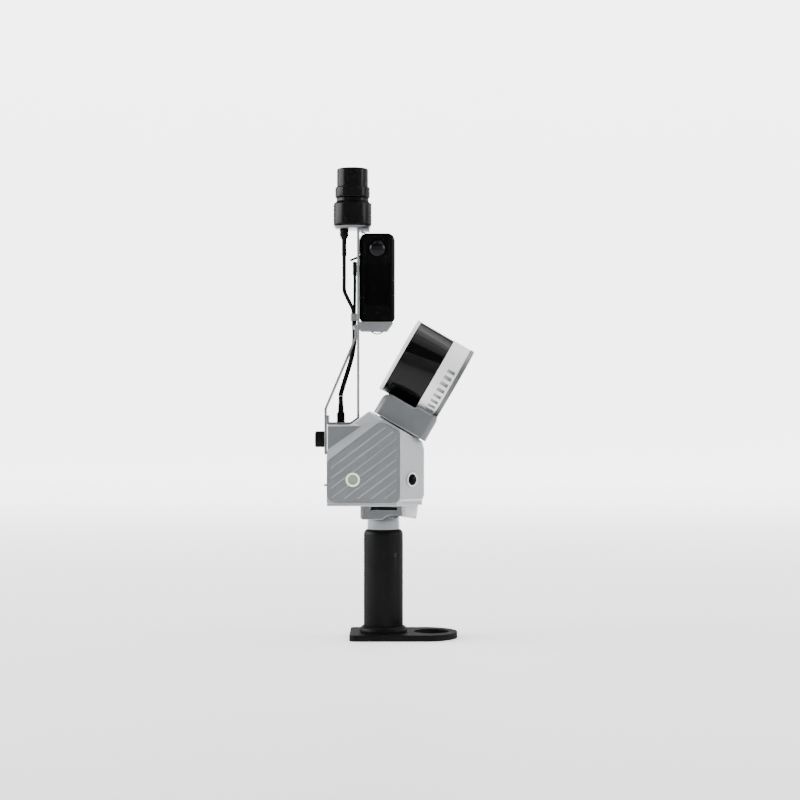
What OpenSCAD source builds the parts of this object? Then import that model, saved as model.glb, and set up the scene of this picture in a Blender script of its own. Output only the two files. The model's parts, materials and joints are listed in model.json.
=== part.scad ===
// Handheld lidar scanner on its base plate, with a mast for a 360 camera and a satellite antenna.
// Millimetres. Z is up, X points forward, the origin is on the grip's axis under the base plate.

/* [Base plate] */
// Reach of the plate in front of the grip axis
base_front = 96; // [90:1:110]
// Reach of the plate behind the grip axis
base_back = 43.5; // [36:0.5:60]
// Width of the plate
base_w = 88; // [80:1:100]
// Thickness of the plate
base_t = 8; // [6:0.5:12]
// Radius of the plate's rear corners
base_corner = 9; // [4:1:16]
// Distance from the grip axis to the sighting hole
sight_x = 62.5; // [58:0.5:66]
// Diameter of the sighting hole
sight_d = 46; // [30:1:48]
// Diameter of the flange round the grip's foot
flange_d = 61.5; // [57:0.5:64]
// Height of that flange above the plate
flange_h = 8; // [5:0.5:10]
// Diameter of the tripod thread under the plate
thread_d = 6.35; // [6.35, 9.525]

/* [Grip] */
// Outer diameter of the grip
grip_d = 51; // [49:0.2:56]
// Height of the grip's top above the ground
grip_top = 142; // [125:0.5:150]
// Rounding of the grip's top edge
grip_round = 8; // [3:0.5:9]
// Wall of the tube inside the grip
tube_wall = 1.6; // [1:0.1:2]
// Diameter of a battery cell
cell_d = 18.4; // [17:0.1:18.6]
// Length of a battery cell
cell_l = 65; // [50:0.5:70]

/* [Neck] */
// Diameter of the bright collar above the grip
collar_d = 42; // [38:0.5:44]
// Height of the neck block
neck_h = 18.2; // [16:0.1:26]
// Width of the neck block
neck_w = 64; // [56:1:80]
// Reach of the neck block behind the grip axis
neck_back = 29.5; // [26:0.5:36]
// Reach of the neck block in front of the grip axis
neck_front = 45.5; // [42:0.5:48]

/* [Body] */
// Height of the body's underside
body_z = 173.2; // [165:0.1:185]
// Width of the body across its sides
body_w = 98; // [94:1:112]
// Reach of the body behind the grip axis
body_back = 71.8; // [64:0.1:80]
// Reach of the body in front of the grip axis
body_front = 53; // [50:0.5:60]
// Where the slanted front corners start
corner_x = 22; // [18:0.5:26]
// Height of the rear deck above the underside
deck_h = 103.5; // [95:0.5:110]
// Distance of the ridge behind the grip axis
ridge_back = 18.3; // [14:0.1:22]
// Height of the ridge above the underside
ridge_h = 121.2; // [115:0.1:126]
// Slope of the face under the head
front_slope = 30; // [26:1:34]
// Slope of the face behind the ridge
rear_slope = 37; // [33:1:40]
// Width of the bevel along the rear slope
bevel_w = 19; // [15:0.5:23]
// How far that bevel cuts into the sides at the top
bevel_in = 11.8; // [9:0.1:14]
// Width of the rear deck box
deck_w = 84; // [76:1:88]
// Wall of the body shell
wall = 3; // [2.4:0.1:3.6]
// Thickness of the bottom plate
plate_t = 4; // [3:0.25:5]
// Height of the skirt at the front corners
skirt_h = 6.5; // [6:0.5:10]
// Step of that skirt
skirt_in = 2.6; // [1:0.1:2.8]

/* [Side panels] */
// How far a panel stands out of the side
panel_out = 1; // [0.5:0.1:2]
// How deep a panel is let into the side
panel_in = 1.9; // [1.2:0.1:2.2]
// Distance between grooves
groove_pitch = 10.3; // [8:0.1:14]
// Width of a groove
groove_w = 1.2; // [0.6:0.1:2]
// Depth of a groove
groove_d = 0.6; // [0.3:0.1:1]
// Number of grooves
groove_n = 9; // [4:1:9]
// Diameter of the power button's ring
ring_d = 18; // [16:0.5:22]
// Diameter of the power button
button_d = 12.2; // [10:0.2:13]
// Travel of the power button
button_travel = 1.2; // [0.8:0.1:1.6]
// Diameter of a side lens bezel
bezel_d = 18.8; // [17:0.2:22]
// Diameter of a side lens barrel
barrel_d = 14.4; // [12:0.2:15]

/* [Head] */
// Where the head's turning axis meets the slope, from the grip axis
spin_x = 20.5; // [17:0.5:24]
// Length of the cradle along the slope
cradle_l = 76.5; // [72:0.1:78]
// Width of the cradle
cradle_w = 72; // [66:1:80]
// Height of the cradle's shelf above the slope
cradle_h = 33; // [30:0.5:35]
// Height of the lidar's axis above the slope
lidar_h = 82.7; // [82.5:0.1:88]
// Diameter of the lidar
lidar_d = 103; // [99:0.5:103]
// Thickness of the lidar's cap
cap_t = 4.75; // [3:0.25:6]
// Length of the lidar's window
window_l = 49; // [42:0.5:52]
// Length of the lidar's finned base
lbase_l = 24.5; // [20:0.5:28]
// Thickness of the flange behind the lidar
backplate_t = 5.5; // [4:0.25:7]
// Distance of that flange's back from the turning axis
backplate_u = 35.2; // [33:0.1:36]

/* [Mast] */
// Thickness of the bent sheet
sheet_t = 2.75; // [2:0.25:3]
// Width of the mast
mast_w = 30; // [26:1:36]
// Distance of the mast's middle behind the grip axis
mast_back = 32.7; // [31.8:0.1:33.5]
// Height of the antenna's seat on the mast
seat_z = 530.5; // [527.8:0.1:540]
// Width of the brace
brace_w = 24; // [22:1:30]
// Diameter of the clamp knob
knob_d = 21; // [16:0.2:26]
// Length of the clamp knob
knob_l = 11.9; // [8:0.1:14]
// Height of the clamp knob above the body's underside
knob_h = 84.4; // [78:0.2:88]

/* [Antenna] */
// Distance of the antenna's axis behind the grip axis
ant_back = 40.1; // [39:0.1:41]
// Diameter of the antenna's lower housing
ant_d = 49.5; // [47:0.5:52]
// Height of the antenna's lower housing
ant_h = 32; // [28:0.5:36]
// Diameter of the radome
radome_d = 40.6; // [37:0.2:41]
// Height of the whole antenna above its base disc
ant_total = 75; // [68:0.5:84]
// Diameter of the antenna's ring
aring_d = 45; // [43:0.5:48]
// Height of the antenna's ring
aring_h = 14.3; // [10:0.1:16]
// Thickness of the bright base disc
disc_t = 3.5; // [2.5:0.25:5]

/* [Camera] */
// Width of the 360 camera
cam_w = 46; // [44:0.5:48]
// Thickness of the 360 camera
cam_t = 22; // [20:0.5:26]
// Height of the 360 camera
cam_h = 114.75; // [111:0.25:115.5]
// Height of the camera tray's underside
tray_z = 397.3; // [396:0.1:397.8]
// Height of the camera tray
tray_h = 12.4; // [12:0.1:13.4]
// Diameter of a camera lens
clens_d = 22.5; // [18:0.5:24]
// How far a camera lens bulges
clens_out = 6; // [4:0.25:7]
// Radius of the folding ring on the camera screw
bail_r = 10.6; // [9.6:0.1:10.8]

/* [Fits] */
// Gap between fixed pieces that fit together
fit = 0.1; // [0.05:0.05:0.15]
// Gap round a running shaft
run = 0.05; // [0.03:0.01:0.08]
// Gap between pieces that move past each other
clear = 0.4; // [0.3:0.05:0.5]

/* [Hidden] */
$fn = 72;

// Overshoot of cuts
cut = 1;

// Colours
black = [0.09, 0.09, 0.10];
silver = [0.66, 0.68, 0.70];
grey = [0.50, 0.52, 0.53];
panel_grey = [0.55, 0.56, 0.58];
white = [0.90, 0.90, 0.89];
steel = [0.75, 0.76, 0.78];
board_green = [0.10, 0.35, 0.20];
glass_dark = [0.03, 0.03, 0.04];

// M3 and M4 screws
m3_r = 1.45;
m3_head_r = 2.75;
m3_head_h = 1.8;
m4_r = 1.9;
m4_head_r = 3.5;
m4_head_h = 3.5;

// Grip
insert_r = thread_d / 2 + 3;
base_screw_r = 14.5;
tube_floor = 8;
pack_r = cell_d * (0.5 + 1 / sqrt(3));
tube_in = pack_r + 2 * fit;
tube_out = tube_in + tube_wall;
shell_in = tube_out + fit;
flange_top = base_t + flange_h;
tube_top = grip_top - 1.5;
holder_t = 3;
grip_screw_z = 108.6;
spigot_l = 10;
seam = 0.1;

// Neck
neck_z = body_z - neck_h;
collar_top = neck_z + 8;
neck_rise = 5.5;
neck_screw_r = 16.5;
wire_r = 11;
vent_x0 = -17;
vent_x1 = 18.4;
vent_z0 = body_z - 6;
vent_z1 = body_z - 1.6;
vent_depth = 6;
vent_slant = 1.6;

// Body, whose faces are moved inwards by e where e is given
shell_z = body_z + plate_t;
deck_z = body_z + deck_h;
ridge_z = body_z + ridge_h;
side_y = body_w / 2;
function front_z(x, e) = ridge_z - e / cos(front_slope) - (x + ridge_back) * tan(front_slope);
function rear_z(x, e) = ridge_z - e / cos(rear_slope) + (x + ridge_back) * tan(rear_slope);
function rear_x(z, e) = (z - ridge_z + e / cos(rear_slope)) / tan(rear_slope) - ridge_back;
function crest_x(er, ef) = (er / cos(rear_slope) - ef / cos(front_slope))
  / (tan(rear_slope) + tan(front_slope)) - ridge_back;
function crest(er, ef) = [crest_x(er, ef), front_z(crest_x(er, ef), ef)];
function body_profile(e) = [
  [-body_back + e, body_z - cut], [-body_back + e, deck_z - e], [rear_x(deck_z - e, e), deck_z - e],
  crest(e, e), [body_front - e, front_z(body_front - e, e)], [body_front - e, body_z - cut]
];
function body_plan(e, s) = let (
  slant = (e + s) * sqrt(2), x = body_front - e - s, y = side_y - e,
  xs = corner_x + side_y - slant - y, yf = side_y - slant - (x - corner_x)
) [[-body_back + e, -y], [xs, -y], [x, -yf], [x, yf], [xs, y], [-body_back + e, y]];
taper_z = body_z + 12;
nose_cut = 2.4;
boss_x = [-body_back + 7, corner_x - 9];
boss_y = side_y - wall - 3.5;
boss_r = 4;
boss_h = 14;
post_x = [-52, 16];
post_y = 30;
post_h = 6;
board_t = 1.6;
board_w = 2 * (boss_y - boss_r - 0.5);
board_l = 84;
board_back = 10;
chip_w = 44;
chip_l = 34;
chip_h = 9;

// Side panels
panel_gap = 0.8;
rim = 6;
groove_rim = 4.5;
function panel_pts(e) = let (
  x0 = -body_back + panel_gap + e, x1 = corner_x - panel_gap - e, z0 = shell_z + panel_gap + e
) [
  [x0, z0], [x1, z0], [x1, front_z(x1, 2.8 + e)], crest(bevel_w + 0.4 + e, 2.8 + e),
  [x0, rear_z(x0, bevel_w + 0.4 + e)]
];
panel_round = [10, 8, 6, 12, 8];
rim_round = [6, 5, 4, 8, 5];
panel_y = side_y + panel_out;
button_x = -38.5;
button_z = body_z + 33.8;
button_out = 1.6;
ring_out = 1;
ring_wall = 1.2;
ring_in = side_y - wall - 2;

// Side lenses
lens_x = corner_x + 14.7;
lens_y = side_y - (lens_x - corner_x);
lens_z = body_z + 33.4;
barrel_in = 12;
barrel_out = 0.8;

// Rear ports
port_z = body_z + 20;
port_w = 28;
port_h = 14;
port_l = 11;
cover_out = 0.8;
cover_w = 34;
cover_h = 20;
cover_axis_z = body_z + 11;
cover_axis_x = -body_back + 1.1;
cover_pin_r = 0.7;
cover_pin_l = 2;
cover_barrel_r = 1;
cover_floor = 0.7;
tab_out = 5.4;
tab_h = 2;
tab_up = 2.7;

// Head, in a frame on the slope with Z square to it and X down the slope
head_at = [spin_x, 0, front_z(spin_x, 0)];
table_gap = 0.5;
table_t = 1.5;
table_r = 30;
spindle_r = 6;
spindle_l = 54;
bearing_r = 13;
bearing_t = 6;
seat_t = 12;
motor_r = 20;
motor_l = 26;
ring_l = 12;
cradle_z = table_gap + table_t;
cradle_top = lidar_h - lidar_d / 2 + 5.4;
cradle_off = -0.75;
step_u = 4;
lidar_r = lidar_d / 2;
base_u1 = backplate_u - backplate_t;
base_u0 = base_u1 - lbase_l;
window_u0 = base_u0 - window_l;
cap_u0 = window_u0 - cap_t;
window_wall = 3;
post_r = 5;
rotor_r = 40;
rotor_flat = 8;
rotor_gap = 4;
lbase_floor = 9;
fin_n = 9;
fin_from = 104;
fin_step = 10;
fin_w = 4.6;
fin_l = 13;
fin_d = 4.5;
lidar_screw_r = 30;
lidar_len = 8;
lidar_hole = lidar_len + 4;

// Mast and brace
mast_x = -mast_back;
tab_z = seat_z - sheet_t / 2;
tab_front = 18;
lip_x = -body_back - fit;
lip_z = deck_z + 12;
leg = sheet_t / 2 + 2 * fit;
floor_z = deck_z + leg;
mast_line = [
  [-tab_front, tab_z], [mast_x, tab_z], [mast_x, rear_z(mast_x, -leg)], [rear_x(floor_z, -leg), floor_z],
  [lip_x, floor_z], [lip_x, lip_z]
];
lap_x = mast_x - sheet_t - fit;
strap_x = lip_x - sheet_t - 3 * fit;
lap_top = 406;
lap_low = 390;
bend_z = deck_z + 20.5;
strap_low = body_z + 64.8;
brace_line = [[lap_x, lap_top], [lap_x, lap_low], [strap_x, bend_z], [strap_x, strap_low]];
slot_w = 8.4;
slot_z0 = 352;
slot_z1 = lap_top + cut;
stud_r = 3;
stud_l = 16;
strap_out = strap_x - sheet_t / 2;
knob_x = strap_out - clear;
knob_z = body_z + knob_h;
clamp_boss_r = 8;
lap_screw_y = 8;
lap_screw_z = 402;

// Cable set: routes as points chosen by hand, from top to bottom
trunk_d = 5.3;
acable_d = 4;
ccable_d = 3;
plug_x = 0.55 * rear_x(deck_z, 0) - 0.45 * body_back;
plug_z = deck_z + 2.4;
boot_z = deck_z + 36.9;
clip_z0 = 411.2;
clip_z1 = 420.4;
clip_w = 13;
clip_out = 42.2;
gland_x = -51;
plug_body_x = -37.15;
trunk_pts = [
  [-38.2, 0, 415], [-38, 0, 407], [-37.6, 0, 399.5], [-37.5, 0, 391.7], [-37.9, 0, 384], [-39, 0, 376],
  [-40.3, 0, 368.3], [-42.1, 0, 360.5], [-44.3, 0, 352.7], [-46.7, 0, 344.9], [-49.1, 0, 337.1], [-51.5, 0, 329.3],
  [plug_x + 1.5, 0, boot_z + 8], [plug_x + 0.1, 0, boot_z + 3.5], [plug_x, 0, boot_z]
];
acable_pts = [
  [gland_x, 0, 495.6], [gland_x, 0, 484], [gland_x, 0, 472], [gland_x, 0, 460], [gland_x, 0, 453],
  [-50.2, 0, 448.5], [-48.2, -0.4, 444], [-45.2, -1, 438], [-42.2, -1.7, 432], [-39.9, -2.4, 427],
  [-39, -2.7, 423], [-38.9, -2.7, 420], [-38.9, -2.7, 416]
];
ccable_pts = [
  [plug_body_x, 0, 470.4], [plug_body_x, 0, 460], [-37.2, 0.4, 450], [-37.3, 1.1, 440], [-37.4, 2, 431],
  [-37.6, 2.7, 422], [-37.6, 2.7, 416]
];

// Antenna
ant_x = -ant_back;
disc_r = 21.8;
disc_top_r = ant_d / 2 - 0.4;
disc_z = seat_z + fit;
house_z = disc_z + disc_t;
house_top = house_z + ant_h - 3;
cone_top = house_z + ant_h;
radome_r = radome_d / 2;
ring_z = house_z + ant_h + 4.6;
ant_top = house_z + ant_total;
ant_wall = 2.2;
gland_r = 5.7;
sleeve_r = 3;
tab_screw_x = -26;
tab_screw_y = 9;

// Camera
cam_x = mast_x + sheet_t / 2 + 0.3 + cam_w / 2;
tray_x = mast_x + sheet_t / 2 + fit;
cam_z = tray_z + tray_h + fit;
cam_top = cam_z + cam_h;
cam_y = cam_t / 2;
cam_round = 7;
cam_corner = [6, 6, 10, 10];
clens_z = cam_top - 19.8;
screen_w = 34;
screen_h = 53.5;
screen_z = cam_z + 21.5;
screen_t = 1.2;
shutter_r = 3.6;
shutter_z = cam_z + 10.5;
shutter_travel = 0.8;
tray_w = 30;
tray_front = 12.4;
tray_slant = 7.4;
screw_x = cam_x;
head_r = 8;
head_t = 3.9;
bail_wire = 0.8;
well_r = bail_r + bail_wire + 0.7;
well_h = 10;
screw_shank_r = 3.1;
screw_up = 8;
bail_z = tray_z + well_h - clear - head_t / 2;
door_axis_x = mast_x + sheet_t / 2 - 0.4;
door_axis_z = 494.6;
door_l = 12.6;
door_w = 9;
door_t = 2.2;
door_tilt = 22.6;
door_pin_r = 0.7;
plug_body_t = 5.1;
plug_body_w = 10;
plug_z0 = 470.5;
plug_z1 = 488;
tongue_z0 = 474.8;
tongue_z1 = 483.2;
tongue_t = 2.4;
tongue_l = 11;
window_z0 = 472;
window_z1 = 500.5;
window_w = 14;

// A polygon with its convex corners rounded to true arcs
function dir(a, b) = (b - a) / norm(b - a);
function tangent(u, v, r) = r / tan(acos(u * v) / 2);
module round_poly(pts, radii) {
  n = len(pts);
  u = [for (i = [0:n - 1]) dir(pts[i], pts[(i + n - 1) % n])];
  v = [for (i = [0:n - 1]) dir(pts[i], pts[(i + 1) % n])];
  polygon([
    for (i = [0:n - 1]) each radii[i] > 0
      ? [pts[i] + u[i] * tangent(u[i], v[i], radii[i]), pts[i] + v[i] * tangent(u[i], v[i], radii[i])]
      : [pts[i]]
  ]);
  for (i = [0:n - 1])
    if (radii[i] > 0)
      translate(pts[i] + dir([0, 0], u[i] + v[i]) * radii[i] / sin(acos(u[i] * v[i]) / 2))
        circle(r = radii[i]);
}

module round_box_2d(x, y, r) {
  round_poly([[-x / 2, -y / 2], [x / 2, -y / 2], [x / 2, y / 2], [-x / 2, y / 2]], [r, r, r, r]);
}

// Outline of a bent sheet whose middle line runs through pts
function edge(pts, d) = [
  for (i = [0:len(pts) - 1]) let (
    last = len(pts) - 1,
    a = dir(pts[max(i - 1, 0)], pts[max(i, 1)]),
    b = dir(pts[min(i, last - 1)], pts[min(i + 1, last)]),
    na = [-a[1], a[0]], nb = [-b[1], b[0]]
  ) pts[i] + (na + nb) * d / (1 + na * nb)
];
function turned(list) = [for (i = [len(list) - 1:-1:0]) list[i]];
function sheet_outline(pts, t) = concat(edge(pts, t / 2), turned(edge(pts, -t / 2)));

// Extrude an XZ outline across Y, centred
module along_y(w) {
  rotate([90, 0, 0])
    translate([0, 0, -w / 2])
      linear_extrude(w) children();
}

// Extrude an XZ outline from y0 to y1
module from_y(y0, y1) {
  translate([0, y1, 0])
    rotate([90, 0, 0])
      linear_extrude(y1 - y0) children();
}

module tube(r1, r0, h) {
  difference() {
    cylinder(r = r1, h = h);
    translate([0, 0, -cut]) cylinder(r = r0, h = h + 2 * cut);
  }
}

// A round cable swept along a list of points, its end faces square to its ends
function heading(p, i) = dir(p[max(i - 1, 0)], p[min(i + 1, len(p) - 1)]);
function ring_at(c, t, r, n) = let (
  side = [0, 1, 0], a = dir([0, 0, 0], cross(t, side)), b = cross(t, a)
) [for (k = [0:n - 1]) c + r * (cos(360 * k / n) * a + sin(360 * k / n) * b)];
module cable(p, d, n) {
  rows = len(p);
  pts = [for (i = [0:rows - 1]) each ring_at(p[i], heading(p, i), d / 2, n)];
  faces = concat(
    [[for (k = [0:n - 1]) k]],
    [for (i = [0:rows - 2]) for (k = [0:n - 1]) let (m = (k + 1) % n)
      each [[i * n + k, (i + 1) * n + k, (i + 1) * n + m], [i * n + k, (i + 1) * n + m, i * n + m]]],
    [[for (k = [n - 1:-1:0]) (rows - 1) * n + k]]
  );
  polyhedron(pts, faces);
}

// A screw pointing down from its head's underside at z = 0, and the hole for it
module m3(l) {
  cylinder(r = m3_head_r, h = m3_head_h);
  translate([0, 0, -l]) cylinder(r = m3_r, h = l + 0.1);
}

module m3_hole(l) {
  cylinder(r = m3_head_r + fit, h = m3_head_h + 30);
  translate([0, 0, -l - fit]) cylinder(r = m3_r + fit, h = l + 1);
}

// Places of the root's M3 screws, each with its length
neck_len = 12;
plate_len = 9;
boss_len = 12;
grip_len = 5;
lap_len = 9;
tab_len = 6;
module at_neck_screws() {
  for (a = [45:90:315])
    rotate([0, 0, a]) translate([neck_screw_r, 0, body_z - 6]) children();
}
module at_plate_screws() {
  for (x = [-23, 24], y = [-24, 24])
    translate([x, y, shell_z + fit]) children();
}
module at_boss_screws() {
  for (x = boss_x, y = [-boss_y, boss_y])
    translate([x, y, body_z + 2]) rotate([180, 0, 0]) children();
}
module at_grip_screws() {
  for (a = [-50, 50])
    rotate([0, 0, a]) translate([grip_d / 2 - 2.2, 0, grip_screw_z]) rotate([0, 90, 0]) children();
}
module at_lap_screws() {
  for (s = [-1, 1])
    translate([lap_x - sheet_t / 2 - fit, s * lap_screw_y, lap_screw_z]) rotate([0, -90, 0]) children();
}
module at_tab_screws() {
  for (s = [-1, 1])
    translate([tab_screw_x, s * tab_screw_y, seat_z - sheet_t - fit]) rotate([180, 0, 0]) children();
}

// Foot and grip
module base_plate() color(black) {
  difference() {
    linear_extrude(base_t) {
      x = base_front - base_w / 2;
      translate([x, 0]) circle(d = base_w);
      round_poly(
        [[-base_back, -base_w / 2], [x, -base_w / 2], [x, base_w / 2], [-base_back, base_w / 2]],
        [base_corner, 0, 0, base_corner]
      );
    }
    translate([sight_x, 0, -cut]) cylinder(d = sight_d, h = base_t + 2 * cut);
    translate([0, 0, -cut]) cylinder(r = insert_r + fit, h = base_t + 2 * cut);
    at_base_screws() base_screw_hole();
  }
}

module at_base_screws() {
  for (a = [45:90:315])
    rotate([0, 0, a]) translate([base_screw_r, 0, 0]) children();
}

base_screw_seat = base_t / 2 + 0.5;
base_screw_top = base_t + tube_floor - 1.5;
module base_screw_hole() {
  translate([0, 0, -cut]) cylinder(r = m4_head_r + fit, h = base_screw_seat + cut);
  translate([0, 0, -cut]) cylinder(r = m4_r + fit, h = base_screw_top + fit + cut);
}

module base_screws() color(steel) {
  at_base_screws() {
    translate([0, 0, base_screw_seat - m4_head_h - fit]) cylinder(r = m4_head_r, h = m4_head_h);
    translate([0, 0, base_screw_seat - m4_head_h]) cylinder(r = m4_r, h = base_screw_top - base_screw_seat + m4_head_h);
  }
}

module base_flange() color(black) {
  round_r = flange_h - 2;
  rotate_extrude() {
    difference() {
      union() {
        translate([tube_out + fit, base_t]) square([flange_d / 2 - tube_out - fit - round_r, flange_h]);
        translate([tube_out + fit, base_t]) square([flange_d / 2 - tube_out - fit, flange_h - round_r]);
        translate([flange_d / 2 - round_r, flange_top - round_r]) circle(r = round_r);
      }
      translate([-cut, 0]) square([tube_out + fit + cut, flange_top + cut]);
      translate([-cut, -cut]) square([flange_d, base_t + cut]);
    }
  }
}

module tripod_insert() color(steel) {
  tube(insert_r, thread_d / 2, base_t + tube_floor - fit);
}

module handle_tube() color(steel) {
  difference() {
    translate([0, 0, base_t]) cylinder(r = tube_out, h = tube_top - base_t);
    translate([0, 0, base_t + tube_floor]) cylinder(r = tube_in, h = tube_top);
    translate([0, 0, base_t - cut]) cylinder(r = insert_r + fit, h = tube_floor + 2 * cut);
    at_base_screws() base_screw_hole();
    at_grip_screws() m3_hole(grip_len);
  }
}

module grip_half(s) {
  r = grip_d / 2;
  z0 = flange_top + fit;
  difference() {
    rotate_extrude() {
      translate([shell_in, z0]) square([r - shell_in, grip_top - grip_round - z0]);
      intersection() {
        translate([r - grip_round, grip_top - grip_round]) circle(r = grip_round);
        translate([shell_in, z0]) square([r, grip_top]);
      }
    }
    translate([-r - cut, s > 0 ? -2 * r + seam / 2 : -seam / 2, 0]) cube([2 * r + 2 * cut, 2 * r, 2 * grip_top]);
    at_grip_screws() m3_hole(grip_len);
  }
}

module handle_shell_left() color(black) grip_half(-1);
module handle_shell_right() color(black) grip_half(1);

cell_z = base_t + tube_floor + holder_t + 2 * fit;
module battery_cells() color([0.15, 0.35, 0.6]) {
  for (a = [90:120:330])
    rotate([0, 0, a]) translate([cell_d / sqrt(3) + fit / 2, 0, cell_z]) cylinder(d = cell_d, h = cell_l);
}

module battery_holders() color(white) {
  for (z = [base_t + tube_floor + fit, cell_z + cell_l + fit])
    translate([0, 0, z]) difference() {
      cylinder(r = tube_in - fit, h = holder_t);
      for (a = [90:120:330])
        rotate([0, 0, a]) translate([cell_d / sqrt(3), 0, -cut]) cylinder(d = cell_d / 3, h = holder_t + 2 * cut);
    }
}

module neck_collar() color(silver) {
  difference() {
    union() {
      translate([0, 0, tube_top + fit]) cylinder(d = collar_d, h = collar_top - tube_top - fit);
      translate([0, 0, tube_top - spigot_l]) cylinder(r = tube_in - fit, h = spigot_l + 1);
    }
    translate([0, 0, tube_top - spigot_l - cut]) cylinder(r = wire_r, h = 100);
    at_neck_screws() m3_hole(neck_len);
  }
}

module neck_block() color(silver) {
  y = neck_w / 2;
  difference() {
    intersection() {
      translate([0, 0, neck_z - cut]) linear_extrude(neck_h + cut - fit)
        round_poly(
          [[-neck_back, -y], [neck_front - 22, -y], [neck_front, -y * 0.36], [neck_front, y * 0.36],
            [neck_front - 22, y], [-neck_back, y]],
          [5, 16, 9, 9, 16, 5]
        );
      along_y(neck_w + 2) difference() {
        round_poly(
          [[-neck_back, body_z], [-neck_back, neck_z], [neck_front - 3, neck_z], [neck_front, body_z]],
          [0, 4, 1, 0]
        );
        polygon([[-2, neck_z - cut], [-1, neck_z], [6, neck_z + neck_rise], [16, neck_z + neck_rise],
          [neck_front - 4, neck_z], [neck_front - 3, neck_z - cut]]);
      }
    }
    translate([0, 0, neck_z - cut]) cylinder(r = collar_d / 2 + fit, h = collar_top + fit - neck_z + cut);
    cylinder(r = wire_r, h = body_z + cut);
    for (s = [-1, 1]) vent(s, 0, vent_depth);
    at_neck_screws() m3_hole(neck_len);
    at_plate_screws() m3_hole(plate_len);
  }
}

// The vent slot in the neck's sides, shrunk by e
module vent(s, e, depth) {
  y = neck_w / 2;
  y0 = s > 0 ? y - depth : -y - 1;
  from_y(y0, y0 + depth + 1)
    polygon([[vent_x0 + e, vent_z0 + e], [vent_x1 - e, vent_z0 + e], [vent_x1 - vent_slant - e, vent_z1 - e],
      [vent_x0 + vent_slant + e, vent_z1 - e]]);
}

module vent_grilles() color(black) {
  for (s = [-1, 1])
    intersection() {
      vent(s, fit, vent_depth - fit);
      cube([200, neck_w - 4, 2 * body_z], center = true);
    }
}

// Body
module body_solid(e) {
  difference() {
    intersection() {
      along_y(body_w + 2) polygon(body_profile(e));
      translate([0, 0, body_z - cut]) linear_extrude(ridge_h + 2 * cut) polygon(body_plan(e, 0));
    }
    for (m = [0, 1])
      mirror([0, m, 0])
        translate([bevel_w * sin(rear_slope) - ridge_back, -side_y, ridge_z - bevel_w * cos(rear_slope)])
          rotate([0, -rear_slope, 0])
            rotate([atan2(bevel_w, bevel_in), 0, 0])
              translate([-200, -100, -e]) cube([400, 200, 100]);
  }
  intersection() {
    translate([-body_back + e, -deck_w / 2 + e, deck_z - 62])
      cube([body_back - ridge_back, deck_w - 2 * e, 62 - e]);
    translate([0, 0, body_z]) linear_extrude(ridge_h) polygon(body_plan(e, 0));
  }
}

// Below the skirt's top only the plan with its stepped-in front corners is left
module skirt_cut() {
  translate([0, 0, body_z - 2 * cut]) linear_extrude(skirt_h + 2 * cut) difference() {
    square(4 * body_back, center = true);
    polygon(body_plan(0, skirt_in));
    translate([-2 * body_back, -2 * body_back]) square([2 * body_back + corner_x - 10, 4 * body_back]);
  }
  along_y(2 * body_w) {
    polygon([[body_front, taper_z], [body_front + cut, taper_z], [body_front + cut, body_z + skirt_h],
      [body_front - skirt_in, body_z + skirt_h]]);
    polygon([[body_front - nose_cut, front_z(body_front - nose_cut, 0)], [body_front + cut, ridge_z],
      [body_front + cut, front_z(body_front, 0) - 7], [body_front, front_z(body_front, 0) - 7]]);
  }
}

module panel_shape(e, radii) round_poly(panel_pts(e), radii);

module at_slope() translate(head_at) rotate([0, front_slope, 0]) children();

module at_lens(s)
  translate([lens_x, s * lens_y, lens_z]) rotate([0, 0, s * 45]) rotate([0, 90, 0]) children();

module body_shell() color(silver) {
  difference() {
    union() {
      difference() {
        body_solid(0);
        body_solid(wall);
        skirt_cut();
        translate([-200, -200, body_z - 100]) cube([400, 400, 100 + plate_t]);
        for (m = [0, 1])
          mirror([0, m, 0]) from_y(-side_y - cut, -side_y + wall + cut) panel_shape(rim, rim_round);
      }
      intersection() {
        at_slope() translate([0, 0, -wall - seat_t + 1]) cylinder(r = bearing_r + 5, h = seat_t);
        body_solid(wall - 0.5);
      }
      translate([0, 0, shell_z]) linear_extrude(2 * skirt_h - plate_t) difference() {
        polygon(body_plan(0, skirt_in));
        polygon(body_plan(wall, skirt_in));
        translate([-2 * body_back, -2 * body_back]) square([2 * body_back + corner_x - 10, 4 * body_back]);
      }
      for (x = boss_x, y = [-boss_y, boss_y])
        translate([x, y, shell_z]) cylinder(r = boss_r, h = boss_h);
      translate([-body_back + 0.5, 0, knob_z]) rotate([0, -90, 0])
        cylinder(r = clamp_boss_r, h = -strap_x - sheet_t / 2 - body_back + 0.5 - fit);
    }
    at_slope() {
      translate([0, 0, -60]) cylinder(r = spindle_r + 2, h = 61);
      translate([0, 0, -60]) cylinder(r = bearing_r + fit, h = 60 - wall);
    }
    for (s = [-1, 1])
      at_lens(s) translate([0, 0, -20]) cylinder(d = barrel_d + 2 * fit, h = 22);
    for (m = [0, 1])
      mirror([0, m, 0]) from_y(-side_y - cut, -side_y + panel_in + fit) panel_shape(-fit, panel_round);
    at_boss_screws() m3_hole(boss_len);
    translate([-body_back - 10, 0, knob_z]) rotate([0, 90, 0]) cylinder(r = stud_r + run, h = 20);
    translate([plug_x, 0, deck_z - 10]) cylinder(r = 5 + fit, h = 20);
    translate([-body_back - cut, -port_w / 2, port_z - port_h / 2]) cube([wall + 2 * cut, port_w, port_h]);
    translate([-body_back - cut, -cover_w / 2 - clear, cover_axis_z - cover_barrel_r - clear])
      cube([wall - cover_floor + cut, cover_w + 2 * clear, cover_h + cover_barrel_r + 2 * clear]);
    translate([cover_axis_x, 0, cover_axis_z]) rotate([90, 0, 0])
      cylinder(r = cover_pin_r + run, h = cover_w + 2 * (clear + cover_pin_l + fit), center = true);
  }
}

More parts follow.
